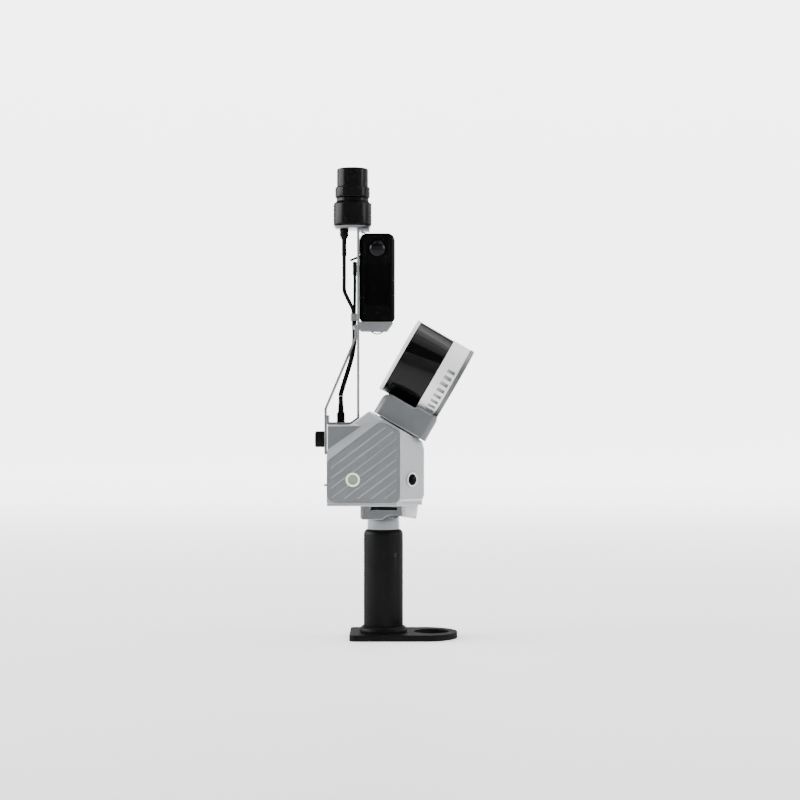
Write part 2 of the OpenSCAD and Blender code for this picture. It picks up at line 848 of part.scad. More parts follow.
module bottom_plate() color(silver) {
  difference() {
    union() {
      translate([0, 0, body_z]) linear_extrude(plate_t) intersection() {
        polygon(body_plan(0, 0));
        union() {
          polygon(body_plan(0, skirt_in));
          translate([-2 * body_back, -2 * body_back]) square([2 * body_back + corner_x - 10, 4 * body_back]);
        }
      }
      for (x = post_x, y = [-post_y, post_y])
        translate([x, y, body_z + plate_t - 0.5]) cylinder(r = 3, h = post_h + 0.5);
    }
    translate([0, 0, body_z - cut]) cylinder(r = wire_r, h = plate_t + 2 * cut);
    at_boss_screws() m3_hole(boss_len);
    at_plate_screws() m3_hole(plate_len);
    at_neck_screws() translate([0, 0, -cut]) cylinder(r = m3_head_r + 1, h = 20);
  }
}

module side_panel(s) {
  difference() {
    mirror([0, s > 0 ? 1 : 0, 0]) difference() {
      from_y(-panel_y, -side_y + panel_in) panel_shape(0, panel_round);
      intersection() {
        from_y(-panel_y - cut, -panel_y + groove_d) panel_shape(groove_rim, rim_round);
        for (k = [1:groove_n])
          translate([-ridge_back, 0, ridge_z]) rotate([0, -rear_slope, 0])
            translate([-200, -100, -bevel_w - k * groove_pitch - groove_w / 2]) cube([400, 200, groove_w]);
      }
    }
    if (s < 0)
      translate([button_x, -side_y, button_z]) rotate([90, 0, 0])
        cylinder(r = ring_d / 2 - ring_wall + fit, h = 20, center = true);
  }
}

module side_panel_left() color(panel_grey) side_panel(-1);
module side_panel_right() color(panel_grey) side_panel(1);

// The button's frame: Z points out of the left panel, z = 0 on its face
module at_button() translate([button_x, -panel_y, button_z]) rotate([90, 0, 0]) children();
guide_l = panel_y - ring_in;
guide_r = button_d / 2 + clear;

module button_ring() color([0.86, 0.88, 0.80]) {
  at_button() difference() {
    union() {
      translate([0, 0, fit]) cylinder(d = ring_d, h = ring_out);
      translate([0, 0, -guide_l]) cylinder(r = ring_d / 2 - ring_wall, h = guide_l + ring_out);
    }
    translate([0, 0, -guide_l - cut]) cylinder(r = guide_r, h = guide_l + 5);
  }
}

module power_button() color([0.70, 0.71, 0.66]) {
  at_button() {
    translate([0, 0, -guide_l - 1]) cylinder(d = button_d, h = guide_l + 1 + button_out);
    translate([0, 0, -guide_l - 1.6]) cylinder(r = guide_r + 0.5, h = 1.3);
  }
}

module main_board() color(board_green) {
  z = shell_z + post_h + fit;
  x = -body_back + board_back;
  translate([x, -board_w / 2, z]) cube([board_l, board_w, board_t]);
  translate([x + board_l / 2, -chip_w / 2, z]) cube([chip_l, chip_w, board_t + chip_h]);
  translate([x + board_l / 8, chip_w / 4, z]) cube([chip_l / 2, chip_l / 2, board_t + chip_h * 2 / 3]);
}

module m3_screws() color(steel) {
  at_neck_screws() m3(neck_len);
  at_plate_screws() m3(plate_len);
  at_boss_screws() m3(boss_len);
  at_grip_screws() m3(grip_len);
  at_lap_screws() m3(lap_len);
  at_tab_screws() m3(tab_len);
}

module lens_bezels() color(white) {
  for (s = [-1, 1])
    at_lens(s) translate([0, 0, fit]) tube(bezel_d / 2, barrel_d / 2 + fit, 1.4);
}

module lens_barrels() color(black) {
  for (s = [-1, 1])
    at_lens(s) translate([0, 0, -barrel_in]) cylinder(d = barrel_d, h = barrel_in + barrel_out);
}

dome_r = barrel_d / 2 - 0.8;
dome_h = 2.6;
module cap_of_sphere(r, h) {
  big = (r * r + h * h) / (2 * h);
  intersection() {
    translate([0, 0, h - big]) sphere(r = big);
    cylinder(r = r + cut, h = h + cut);
  }
}
module lens_domes() color(glass_dark) {
  for (s = [-1, 1])
    at_lens(s) translate([0, 0, barrel_out + fit]) cap_of_sphere(dome_r, dome_h);
}

module port_block() color(black) {
  difference() {
    translate([-body_back + wall - cover_floor + fit, -port_w / 2 + fit, port_z - port_h / 2 + fit])
      cube([port_l, port_w - 2 * fit, port_h - 2 * fit]);
    for (y = [-port_w / 4, port_w / 4])
      translate([-body_back + wall, y, port_z]) cube([port_l, port_w / 3, port_h / 4], center = true);
  }
}

module port_cover() color([0.16, 0.16, 0.17]) {
  x0 = -body_back - cover_out;
  x1 = -body_back + wall - cover_floor - clear;
  z0 = cover_axis_z + cover_barrel_r + 0.6;
  translate([x0, -cover_w / 2, z0]) cube([x1 - x0, cover_w, cover_axis_z + cover_h - z0]);
  translate([cover_axis_x - 0.8, -cover_w / 2, cover_axis_z]) cube([1.6, cover_w, z0 - cover_axis_z + 1]);
  translate([-body_back - tab_out, -4, cover_axis_z + cover_h / 2 + tab_up]) cube([tab_out, 8, tab_h]);
  translate([cover_axis_x, 0, cover_axis_z]) rotate([90, 0, 0]) {
    cylinder(r = cover_barrel_r, h = cover_w, center = true);
    cylinder(r = cover_pin_r, h = cover_w + 2 * (clear + cover_pin_l), center = true);
  }
}

// Head
module head_motor() color([0.25, 0.26, 0.28]) {
  at_slope() translate([0, 0, -wall - seat_t + 1 - fit - motor_l]) tube(motor_r, spindle_r + clear, motor_l);
}

module head_bearing() color(steel) {
  at_slope() translate([0, 0, -wall - fit - bearing_t]) tube(bearing_r, spindle_r + run, bearing_t);
}

module slip_ring() color([0.8, 0.6, 0.3]) {
  at_slope() translate([0, 0, -wall - seat_t + 1 - 2 * fit - motor_l - ring_l]) tube(10, spindle_r + clear, ring_l);
}

module head_spindle() color(black) {
  at_slope() {
    translate([0, 0, table_gap]) cylinder(r = table_r, h = table_t);
    translate([0, 0, -spindle_l]) cylinder(r = spindle_r, h = spindle_l + table_gap + 0.5);
  }
}

// The lidar's frame: Z runs along its axis towards its base, X points down to the slope
module at_lidar() at_slope() translate([0, 0, lidar_h]) rotate([0, 90, 0]) children();

module head_cradle() color(grey) {
  u0 = cradle_off - cradle_l / 2;
  u1 = cradle_off + cradle_l / 2;
  difference() {
    at_slope() intersection() {
      translate([cradle_off, 0, cradle_z]) linear_extrude(60) round_box_2d(cradle_l, cradle_w, 10);
      along_y(cradle_w + 2) {
        round_poly(
          [[u0, cradle_z], [step_u + 2, cradle_z], [step_u + 2, cradle_h], [u0, cradle_h]], [0, 0, 0, 11]
        );
        polygon([[step_u, cradle_z], [u1, cradle_z], [u1, cradle_top - 5], [backplate_u, cradle_top],
          [step_u + 3, cradle_top], [step_u, cradle_h]]);
      }
    }
    at_lidar() translate([0, 0, -100]) cylinder(r = lidar_r + fit, h = 100 + base_u1);
    at_slope() translate([0, 0, cradle_z - cut]) cylinder(r = table_r - 3, h = cradle_h - 8 - cradle_z + cut);
  }
  difference() {
    at_lidar() translate([0, 0, base_u1]) cylinder(r = lidar_r + 0.5, h = backplate_t);
    at_slope() cylinder(r = table_r - 3, h = cradle_h - 8);
    at_lidar() at_lidar_screws() m3_hole(lidar_hole);
  }
}

module at_lidar_screws() {
  for (a = [60:120:300])
    rotate([0, 0, a]) translate([lidar_screw_r, 0, backplate_u - 2.4]) children();
}

module lidar_screws() color(steel) at_lidar() at_lidar_screws() m3(lidar_len);

module lidar_base() color(white) {
  at_lidar() difference() {
    union() {
      difference() {
        translate([0, 0, base_u0]) cylinder(r = lidar_r, h = lbase_l - fit);
        translate([0, 0, base_u0 - cut]) cylinder(r = rotor_r + rotor_gap, h = lbase_l - lbase_floor + cut);
      }
      translate([0, 0, window_u0 + fit]) cylinder(r = post_r, h = window_l + lbase_l - 4);
    }
    for (s = [-1, 1], k = [0:fin_n - 1])
      rotate([0, 0, s * (fin_from - k * fin_step)]) rotate([90, 0, 0]) linear_extrude(fin_w, center = true)
        polygon([[lidar_r + cut, base_u1 - fin_l - 3], [lidar_r + cut, base_u1 - 3], [lidar_r - fin_d, base_u1 - 3]]);
    at_lidar_screws() m3_hole(lidar_hole);
  }
}

module lidar_window() color(glass_dark) {
  at_lidar() translate([0, 0, window_u0]) tube(lidar_r - 0.5, lidar_r - 0.5 - window_wall, window_l - fit);
}

module lidar_cap() color(white) {
  r = cap_t / 3;
  at_lidar() translate([0, 0, cap_u0]) rotate_extrude() {
    square([lidar_r - r, cap_t - fit]);
    translate([0, r]) square([lidar_r, cap_t - fit - r]);
    translate([lidar_r - r, r]) circle(r = r);
  }
}

module lidar_rotor() color([0.20, 0.21, 0.23]) {
  z0 = window_u0 + 5;
  z1 = base_u1 - lbase_floor - 2;
  at_lidar() difference() {
    intersection() {
      translate([0, 0, z0]) cylinder(r = rotor_r, h = z1 - z0);
      translate([-rotor_r + rotor_flat, -rotor_r, z0]) cube([2 * rotor_r, 2 * rotor_r, z1 - z0]);
    }
    translate([0, 0, z0 - cut]) cylinder(r = post_r + run, h = z1 - z0 + 2 * cut);
    for (y = [-16, 16])
      translate([-rotor_r, y, (z0 + z1) / 2]) rotate([0, 90, 0]) cylinder(r = 11, h = 12);
  }
}

// Bracket
module mast() color(grey) {
  difference() {
    along_y(mast_w) polygon(sheet_outline(mast_line, sheet_t));
    translate([mast_x - 10, -window_w / 2, window_z0]) cube([20, window_w, window_z1 - window_z0]);
    translate([plug_x, 0, deck_z - cut]) cylinder(r = 9, h = 10);
    at_lap_screws() m3_hole(lap_len);
    at_tab_screws() m3_hole(tab_len);
  }
}

module brace() color(grey) {
  difference() {
    along_y(brace_w) polygon(sheet_outline(brace_line, sheet_t));
    translate([-100, -slot_w / 2, slot_z0]) cube([100, slot_w, slot_z1 - slot_z0]);
    translate([strap_x - 10, 0, knob_z]) rotate([0, 90, 0]) cylinder(r = stud_r + clear, h = 20);
    at_lap_screws() m3_hole(lap_len);
  }
}

module clamp_knob() color(black) {
  edge_r = 1.5;
  translate([knob_x, 0, knob_z]) rotate([0, -90, 0]) {
    rotate_extrude() {
      square([knob_d / 2 - edge_r, knob_l]);
      translate([0, edge_r]) square([knob_d / 2, knob_l - 2 * edge_r]);
      for (z = [edge_r, knob_l - edge_r])
        translate([knob_d / 2 - edge_r, z]) circle(r = edge_r);
    }
    translate([0, 0, -stud_l]) cylinder(r = stud_r, h = stud_l + 1);
  }
}

module cable_clip() color([0.62, 0.63, 0.64]) {
  x1 = mast_x - sheet_t / 2 - fit;
  difference() {
    translate([-clip_out, -clip_w / 2, clip_z0]) cube([x1 + clip_out, clip_w, clip_z1 - clip_z0]);
    translate([trunk_pts[0][0], 0, clip_z0 - cut])
      cylinder(r = trunk_d / 2 + 3 * fit, h = trunk_pts[0][2] - clip_z0 + cut + fit);
    for (c = [[acable_pts, acable_d], [ccable_pts, ccable_d]]) {
      end = c[0][len(c[0]) - 1];
      translate([end[0], end[1], end[2] - fit]) cylinder(r = c[1] / 2 + 3 * fit, h = 20);
    }
  }
}

// Cable set
module cable_socket() color(steel) {
  translate([plug_x, 0, deck_z - 9]) cylinder(r = 5, h = 10);
  translate([plug_x, 0, deck_z + fit]) cylinder(r = 7.5, h = 2);
  translate([plug_x, 0, deck_z]) cylinder(r = 3.6, h = 12);
}

module cable_plug() color(black) {
  difference() {
    union() {
      translate([plug_x, 0, plug_z]) cylinder(r = 5.2, h = 13);
      translate([plug_x, 0, plug_z + 13]) cylinder(r1 = 4.2, r2 = 2.9, h = boot_z - plug_z - 13 - fit);
      translate([plug_x + 4.6, 0, plug_z + 5]) rotate([0, 90, 0]) cylinder(r = 1.3, h = 1.4);
    }
    translate([plug_x, 0, plug_z - cut]) cylinder(r = 3.6 + fit, h = deck_z + 12 + fit - plug_z + cut);
  }
}

module cable_trunk() color(black) cable(trunk_pts, trunk_d, 12);
module antenna_cable() color(black) cable(acable_pts, acable_d, 10);
module camera_cable() color(black) cable(ccable_pts, ccable_d, 8);

module usb_plug() color(black) {
  translate([plug_body_x - plug_body_t / 2, -plug_body_w / 2, plug_z0])
    cube([plug_body_t, plug_body_w, plug_z1 - plug_z0]);
  translate([plug_body_x, -tongue_t / 2, tongue_z0])
    cube([plug_body_t / 2 + tongue_l, tongue_t, tongue_z1 - tongue_z0]);
}

module antenna_gland() color(black) {
  sleeve_z = acable_pts[0][2] + fit;
  translate([gland_x, 0, disc_z - 9 - fit]) cylinder(r = gland_r, h = 9);
  translate([gland_x, 0, disc_z - 14 - fit]) cylinder(r1 = sleeve_r + 0.4, r2 = gland_r - 0.5, h = 5);
  translate([gland_x, 0, sleeve_z]) cylinder(r = sleeve_r, h = disc_z - 13 - sleeve_z);
}

// Antenna
module antenna_base() color(steel) {
  difference() {
    translate([ant_x, 0, disc_z]) cylinder(r1 = disc_r, r2 = disc_top_r, h = disc_t - fit);
    at_tab_screws() m3_hole(tab_len);
  }
}

module antenna_housing() color(black) {
  r = ant_d / 2;
  inner = r - ant_wall;
  translate([ant_x, 0, 0]) difference() {
    rotate_extrude() difference() {
      polygon([[0, house_z], [r - 2, house_z], [r, house_z + 2], [r, house_top], [radome_r + 0.6, cone_top],
        [radome_r + 0.6, ring_z], [0, ring_z]]);
      translate([-cut, house_z + 4]) square([inner + cut, ant_h - 9]);
      translate([-cut, house_z + 4]) square([radome_r - 3 + cut, ant_h + 10]);
    }
    translate([-ant_x, 0, 0]) at_tab_screws() m3_hole(tab_len);
  }
}

module antenna_ring() color(black) {
  edge_r = 2;
  r = aring_d / 2;
  translate([ant_x, 0, ring_z + fit]) rotate_extrude() difference() {
    union() {
      square([r - edge_r, aring_h]);
      translate([0, edge_r]) square([r, aring_h - 2 * edge_r]);
      for (z = [edge_r, aring_h - edge_r])
        translate([r - edge_r, z]) circle(r = edge_r);
    }
    translate([-cut, -cut]) square([radome_r + fit + cut, aring_h + 2 * cut]);
  }
}

module antenna_radome() color(black) {
  edge_r = 2.5;
  z0 = ring_z + fit;
  translate([ant_x, 0, 0]) rotate_extrude() difference() {
    union() {
      translate([0, z0]) square([radome_r, ant_top - z0 - edge_r]);
      translate([0, z0]) square([radome_r - edge_r, ant_top - z0]);
      translate([radome_r - edge_r, ant_top - edge_r]) circle(r = edge_r);
    }
    translate([-cut, z0 - cut]) square([radome_r - ant_wall + cut, ant_top - z0 - ant_wall + cut]);
  }
}

module antenna_element() color([0.72, 0.45, 0.25]) {
  z0 = house_z + 4 + fit;
  translate([ant_x, 0, z0]) {
    cylinder(r = radome_r - 4, h = 2);
    tube(13, 11.8, ant_top - ant_wall - 2 - z0);
  }
}

// Camera
module camera_case() color(black) {
  w = cam_w / 2;
  difference() {
    intersection() {
      translate([cam_x, 0, cam_z]) linear_extrude(cam_h) round_box_2d(cam_w, cam_t, cam_round);
      along_y(cam_t + 2) round_poly(
        [[cam_x - w, cam_z], [cam_x + w, cam_z], [cam_x + w, cam_top], [cam_x - w, cam_top]], cam_corner
      );
    }
    translate([cam_x - screen_w / 2, -cam_y - cut, screen_z]) cube([screen_w, screen_t + cut, screen_h]);
    for (s = [-1, 1])
      translate([cam_x, 0, clens_z]) rotate([s * 90, 0, 0])
        translate([0, 0, cam_y - 2]) cylinder(d = clens_d + 4 * fit, h = 10);
    translate([cam_x, 0, cam_z - cut]) cylinder(r = screw_shank_r + run, h = screw_up + 3 + cut);
    translate([cam_x, -cam_y - cut, shutter_z]) rotate([-90, 0, 0]) cylinder(r = shutter_r + clear, h = 4 + cut);
    translate([cam_x - w - cut, -tongue_t / 2 - 4 * fit, tongue_z0 - 4 * fit])
      cube([cut + 8.4, tongue_t + 8 * fit, tongue_z1 - tongue_z0 + 8 * fit]);
    translate([cam_x - w - cut, -door_w / 2 - clear, door_axis_z - door_l - 1])
      cube([cut + 2.6, door_w + 2 * clear, door_l + 5]);
    translate([cam_x - w - cut, -window_w / 2 + 1, door_axis_z - 2]) cube([cut + 0.3, window_w - 2, 5]);
  }
  for (s = [-1, 1])
    difference() {
      translate([door_axis_x, s * (door_w / 2 + clear + 0.6), door_axis_z]) rotate([90, 0, 0]) {
        cylinder(r = 1.5, h = 1.2, center = true);
        translate([0, -1.5, -0.6]) cube([cam_x - w - door_axis_x + 0.8, 3, 1.2]);
      }
      translate([door_axis_x, 0, door_axis_z]) rotate([90, 0, 0])
        cylinder(r = door_pin_r + run, h = door_w + 10, center = true);
    }
}

module camera_screen() color(glass_dark) {
  translate([cam_x - screen_w / 2 + fit, -cam_y + 0.1, screen_z + fit])
    cube([screen_w - 2 * fit, screen_t - 0.2, screen_h - 2 * fit]);
}

module at_camera_lens(s) translate([cam_x, 0, clens_z]) rotate([s * 90, 0, 0]) translate([0, 0, cam_y]) children();

module camera_lenses() color(glass_dark) {
  for (s = [-1, 1])
    at_camera_lens(s) {
      translate([0, 0, -2 + fit]) cylinder(d = clens_d, h = 2.5);
      translate([0, 0, 0.4]) cap_of_sphere(clens_d / 2, clens_out - 0.4);
    }
}

module camera_lens_rings() color(black) {
  for (s = [-1, 1])
    at_camera_lens(s) translate([0, 0, fit]) tube(clens_d / 2 + 2.2, clens_d / 2 + 3 * fit, 1.6);
}

module camera_tray() color(grey) {
  difference() {
    along_y(tray_w)
      round_poly(
        [[tray_x, tray_z], [tray_front - tray_slant, tray_z], [tray_front, tray_z + tray_h - 2.2],
          [tray_front, tray_z + tray_h], [tray_x, tray_z + tray_h]],
        [4, 2, 1, 0, 0]
      );
    translate([screw_x, 0, tray_z - cut]) cylinder(r = well_r, h = well_h + cut);
    translate([screw_x, 0, tray_z]) cylinder(r = screw_shank_r + clear, h = tray_h + cut);
    at_lap_screws() m3_hole(lap_len);
  }
}

module camera_screw() color(steel) {
  difference() {
    translate([screw_x, 0, bail_z - head_t / 2]) {
      cylinder(r = head_r, h = head_t);
      cylinder(r = screw_shank_r, h = tray_h - well_h + clear + head_t + screw_up);
    }
    translate([screw_x, 0, bail_z]) rotate([0, 90, 0]) cylinder(r = bail_wire + run, h = 3 * head_r, center = true);
  }
}

module screw_ring() color(steel) {
  translate([screw_x, 0, bail_z]) {
    rotate([0, 90, 0]) cylinder(r = bail_wire, h = 2 * bail_r, center = true);
    rotate([90, 0, 0]) rotate([0, 0, 180]) rotate_extrude(angle = 180) translate([bail_r, 0]) circle(r = bail_wire);
    for (s = [-1, 1])
      translate([s * bail_r, 0, 0]) sphere(r = bail_wire);
  }
}

module camera_door() color(black) {
  translate([door_axis_x, 0, door_axis_z]) rotate([0, -door_tilt, 0]) {
    rotate([90, 0, 0]) cylinder(r = 1.4, h = door_w, center = true);
    rotate([90, 0, 0]) cylinder(r = door_pin_r, h = door_w + 2 * clear + 2.4, center = true);
    translate([-door_l, -door_w / 2, -door_t / 2]) cube([door_l, door_w, door_t]);
  }
}

module camera_shutter() color([0.16, 0.16, 0.17]) {
  translate([cam_x, -cam_y - 0.6, shutter_z]) rotate([-90, 0, 0]) cylinder(r = shutter_r, h = 3);
}

base_plate();
base_flange();
tripod_insert();
base_screws();
handle_tube();
handle_shell_left();
handle_shell_right();
battery_cells();
battery_holders();
neck_collar();
neck_block();
vent_grilles();
bottom_plate();
body_shell();
side_panel_left();
side_panel_right();
m3_screws();
main_board();
lens_bezels();
lens_barrels();
lens_domes();
button_ring();
power_button();
port_block();
port_cover();
head_motor();
head_bearing();
slip_ring();
head_spindle();
head_cradle();
lidar_base();
lidar_window();
lidar_cap();
lidar_screws();
lidar_rotor();
mast();
brace();
clamp_knob();
cable_clip();
cable_socket();
cable_plug();
cable_trunk();
antenna_cable();
camera_cable();
usb_plug();
antenna_gland();
antenna_base();
antenna_housing();
antenna_ring();
antenna_radome();
antenna_element();
camera_case();
camera_screen();
camera_lenses();
camera_lens_rings();
camera_tray();
camera_screw();
screw_ring();
camera_door();
camera_shutter();
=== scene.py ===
# %% [markdown]
# A handheld lidar scanner stands on its base plate: a black grip, a grey faceted body, a lidar on a
# tilted turning head, and a mast with a camera and a satellite antenna. The solids of all its pieces are
# already packed in one shared frame, in metres. This lesson dresses them: it sets the camera first, then
# gives each piece its finish, and remakes the pieces whose edges and small parts the solids leave plain.

# %% Load the solids
import json
import math

import bpy
from mathutils import Matrix, Vector
from mathutils.geometry import convex_hull_2d


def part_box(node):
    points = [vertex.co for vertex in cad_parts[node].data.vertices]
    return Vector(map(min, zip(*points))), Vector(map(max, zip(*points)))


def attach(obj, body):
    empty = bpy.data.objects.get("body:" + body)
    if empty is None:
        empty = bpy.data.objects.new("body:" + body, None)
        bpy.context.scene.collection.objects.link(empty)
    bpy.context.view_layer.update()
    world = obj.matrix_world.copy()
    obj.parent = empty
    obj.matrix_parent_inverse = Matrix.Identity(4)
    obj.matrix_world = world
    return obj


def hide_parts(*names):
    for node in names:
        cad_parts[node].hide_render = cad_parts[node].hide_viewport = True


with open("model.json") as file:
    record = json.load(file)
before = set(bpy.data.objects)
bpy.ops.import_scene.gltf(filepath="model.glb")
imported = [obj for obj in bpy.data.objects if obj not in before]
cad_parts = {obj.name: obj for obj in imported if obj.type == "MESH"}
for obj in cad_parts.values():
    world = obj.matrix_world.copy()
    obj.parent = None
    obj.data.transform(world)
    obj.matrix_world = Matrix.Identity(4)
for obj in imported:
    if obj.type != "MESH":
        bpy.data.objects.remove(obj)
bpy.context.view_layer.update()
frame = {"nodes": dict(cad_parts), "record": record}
nodes = frame["nodes"]
body_of = {node: body for body, names in frame["record"]["behaviour"]["bodies"].items() for node in names}

# %% [markdown]
# The photograph was taken square from the side with the power button, from a little over two metres off,
# level with the scanner's middle. The camera isn't tilted at all, which keeps the upright lines upright, and
# a long lens keeps near and far pieces close to one scale.

# %% Camera
lens_mm = 79.6
sensor_mm = 36
camera_place = (0.0216, -2.3, 0.3085)
camera_data = bpy.data.cameras.new("side_camera")
camera_data.sensor_width = sensor_mm
camera_data.lens = lens_mm
camera = bpy.data.objects.new("side_camera", camera_data)
bpy.context.scene.collection.objects.link(camera)
camera.location = camera_place
camera.rotation_euler = (math.radians(90), 0, 0)
bpy.context.scene.camera = camera
print("camera looks along +Y from", tuple(camera.location))

# %% [markdown]
# Operators act on whatever is selected, and the loaded solids start out selected. Four small helpers keep
# that in hand: one leaves a single object selected, one puts an object's place into its mesh, one selects
# the faces that pass a test, and one turns an object's modifiers into mesh. Lengths further on are in
# millimetres, as on a drawing, and are multiplied by MM where Blender takes metres.

# %% Selecting
MM = 0.001


def only(piece):
    bpy.ops.object.select_all(action="DESELECT")
    piece.select_set(True)
    bpy.context.view_layer.objects.active = piece


def settle(piece):
    """Put a piece's place into its mesh, so that its object sits at the origin."""
    only(piece)
    bpy.ops.object.transform_apply(location=True, rotation=True, scale=True)


def pick_faces(piece, test):
    """Select the faces whose centre and normal pass a test, in object mode."""
    for part in (piece.data.vertices, piece.data.edges):
        for item in part:
            item.select = False
    count = 0
    for face in piece.data.polygons:
        face.select = bool(test(face.center / MM, face.normal))
        count += face.select
    return count


def apply_modifiers(piece):
    only(piece)
    for modifier in list(piece.modifiers):
        bpy.ops.object.modifier_apply(modifier=modifier.name)


# %% [markdown]
# Most finishes here are paint, anodised metal or moulded plastic. Each has a fine grain that breaks up
# its gloss, and a faint cloudiness in its colour. One node group makes both from two noises on Object
# coordinates, so a grain keeps its real size on every piece. A material then only says its two colours,
# its gloss and how coarse its grain is.

# %% The grain group
noise_low, noise_high = 0.3, 0.7  # a noise stays mostly between these


def make_grain_group():
    group = bpy.data.node_groups.new("surface_grain", "ShaderNodeTree")
    face = group.interface
    settings = (("Grain", 1500.0), ("Cloud", 30.0), ("Bump", 0.1), ("Rough low", 0.3), ("Rough high", 0.4))
    for title, value in settings:
        socket = face.new_socket(title, in_out="INPUT", socket_type="NodeSocketFloat")
        socket.default_value = value
    face.new_socket("Cloudiness", in_out="OUTPUT", socket_type="NodeSocketFloat")
    face.new_socket("Roughness", in_out="OUTPUT", socket_type="NodeSocketFloat")
    face.new_socket("Normal", in_out="OUTPUT", socket_type="NodeSocketVector")
    add, link = group.nodes.new, group.links.new
    come, go = add("NodeGroupInput"), add("NodeGroupOutput")
    place = add("ShaderNodeTexCoord")
    grain, cloud = add("ShaderNodeTexNoise"), add("ShaderNodeTexNoise")
    grain.inputs["Detail"].default_value = 3
    cloud.inputs["Detail"].default_value = 5
    for noise, title in ((grain, "Grain"), (cloud, "Cloud")):
        link(place.outputs["Object"], noise.inputs["Vector"])
        link(come.outputs[title], noise.inputs["Scale"])
    rough = add("ShaderNodeMapRange")
    rough.inputs["From Min"].default_value = noise_low
    rough.inputs["From Max"].default_value = noise_high
    link(grain.outputs["Fac"], rough.inputs["Value"])
    link(come.outputs["Rough low"], rough.inputs["To Min"])
    link(come.outputs["Rough high"], rough.inputs["To Max"])
    bump = add("ShaderNodeBump")
    bump.inputs["Distance"].default_value = 0.0002
    link(come.outputs["Bump"], bump.inputs["Strength"])
    link(grain.outputs["Fac"], bump.inputs["Height"])
    link(cloud.outputs["Fac"], go.inputs["Cloudiness"])
    link(rough.outputs["Result"], go.inputs["Roughness"])
    link(bump.outputs["Normal"], go.inputs["Normal"])
    return group


grain_group = make_grain_group()
print("grain group sockets:", [s.name for s in grain_group.interface.items_tree])

# %% [markdown]
# A finish mixes a dark and a light tone of its colour by the cloudiness, and takes its gloss and its bump
# from the grain. A second, clear layer can lie over it, as lacquer does.


# %% A finish from two colours
def finish(name, dark, light, rough, grain=1500, bump=0.1, metal=0.0,
           cloud=30, coat=0.0, sheen=0.1, specular=0.5):
    material = bpy.data.materials.new(name)
    material.use_nodes = True
    tree = material.node_tree
    shader = tree.nodes["Principled BSDF"]
    shader.inputs["Metallic"].default_value = metal
    shader.inputs["Coat Weight"].default_value = coat
    shader.inputs["Coat Roughness"].default_value = sheen
    shader.inputs["Specular IOR Level"].default_value = specular
    skin = tree.nodes.new("ShaderNodeGroup")
    skin.node_tree = grain_group
    settings = {"Grain": grain, "Cloud": cloud, "Bump": bump, "Rough low": rough[0], "Rough high": rough[1]}
    for title, value in settings.items():
        skin.inputs[title].default_value = value
    ramp = tree.nodes.new("ShaderNodeValToRGB")
    ramp.color_ramp.elements[0].position = noise_low
    ramp.color_ramp.elements[1].position = noise_high
    ramp.color_ramp.elements[0].color = (*dark, 1)
    ramp.color_ramp.elements[1].color = (*light, 1)
    tree.links.new(skin.outputs["Cloudiness"], ramp.inputs["Fac"])
    tree.links.new(ramp.outputs["Color"], shader.inputs["Base Color"])
    tree.links.new(skin.outputs["Roughness"], shader.inputs["Roughness"])
    tree.links.new(skin.outputs["Normal"], shader.inputs["Normal"])
    return material


def grey(value, blue=1.11):
    return (value, value * (1 + blue) / 2, value * blue)


def black(name, dark, light, rough, grain, bump, coat, sheen):
    """A neutral black that shines only through its coat."""
    return finish(name, grey(dark, 1), grey(light, 1), rough, grain, bump,
                  coat=coat, sheen=sheen, specular=0.0)


def lens_glass(name, coat):
    return finish(name, (0.001, 0.001, 0.002), (0.002, 0.002, 0.003), (0.3, 0.4), 900, 0.0,
                  coat=coat, sheen=0.02, specular=0.0)


print("a mid grey:", grey(0.2))
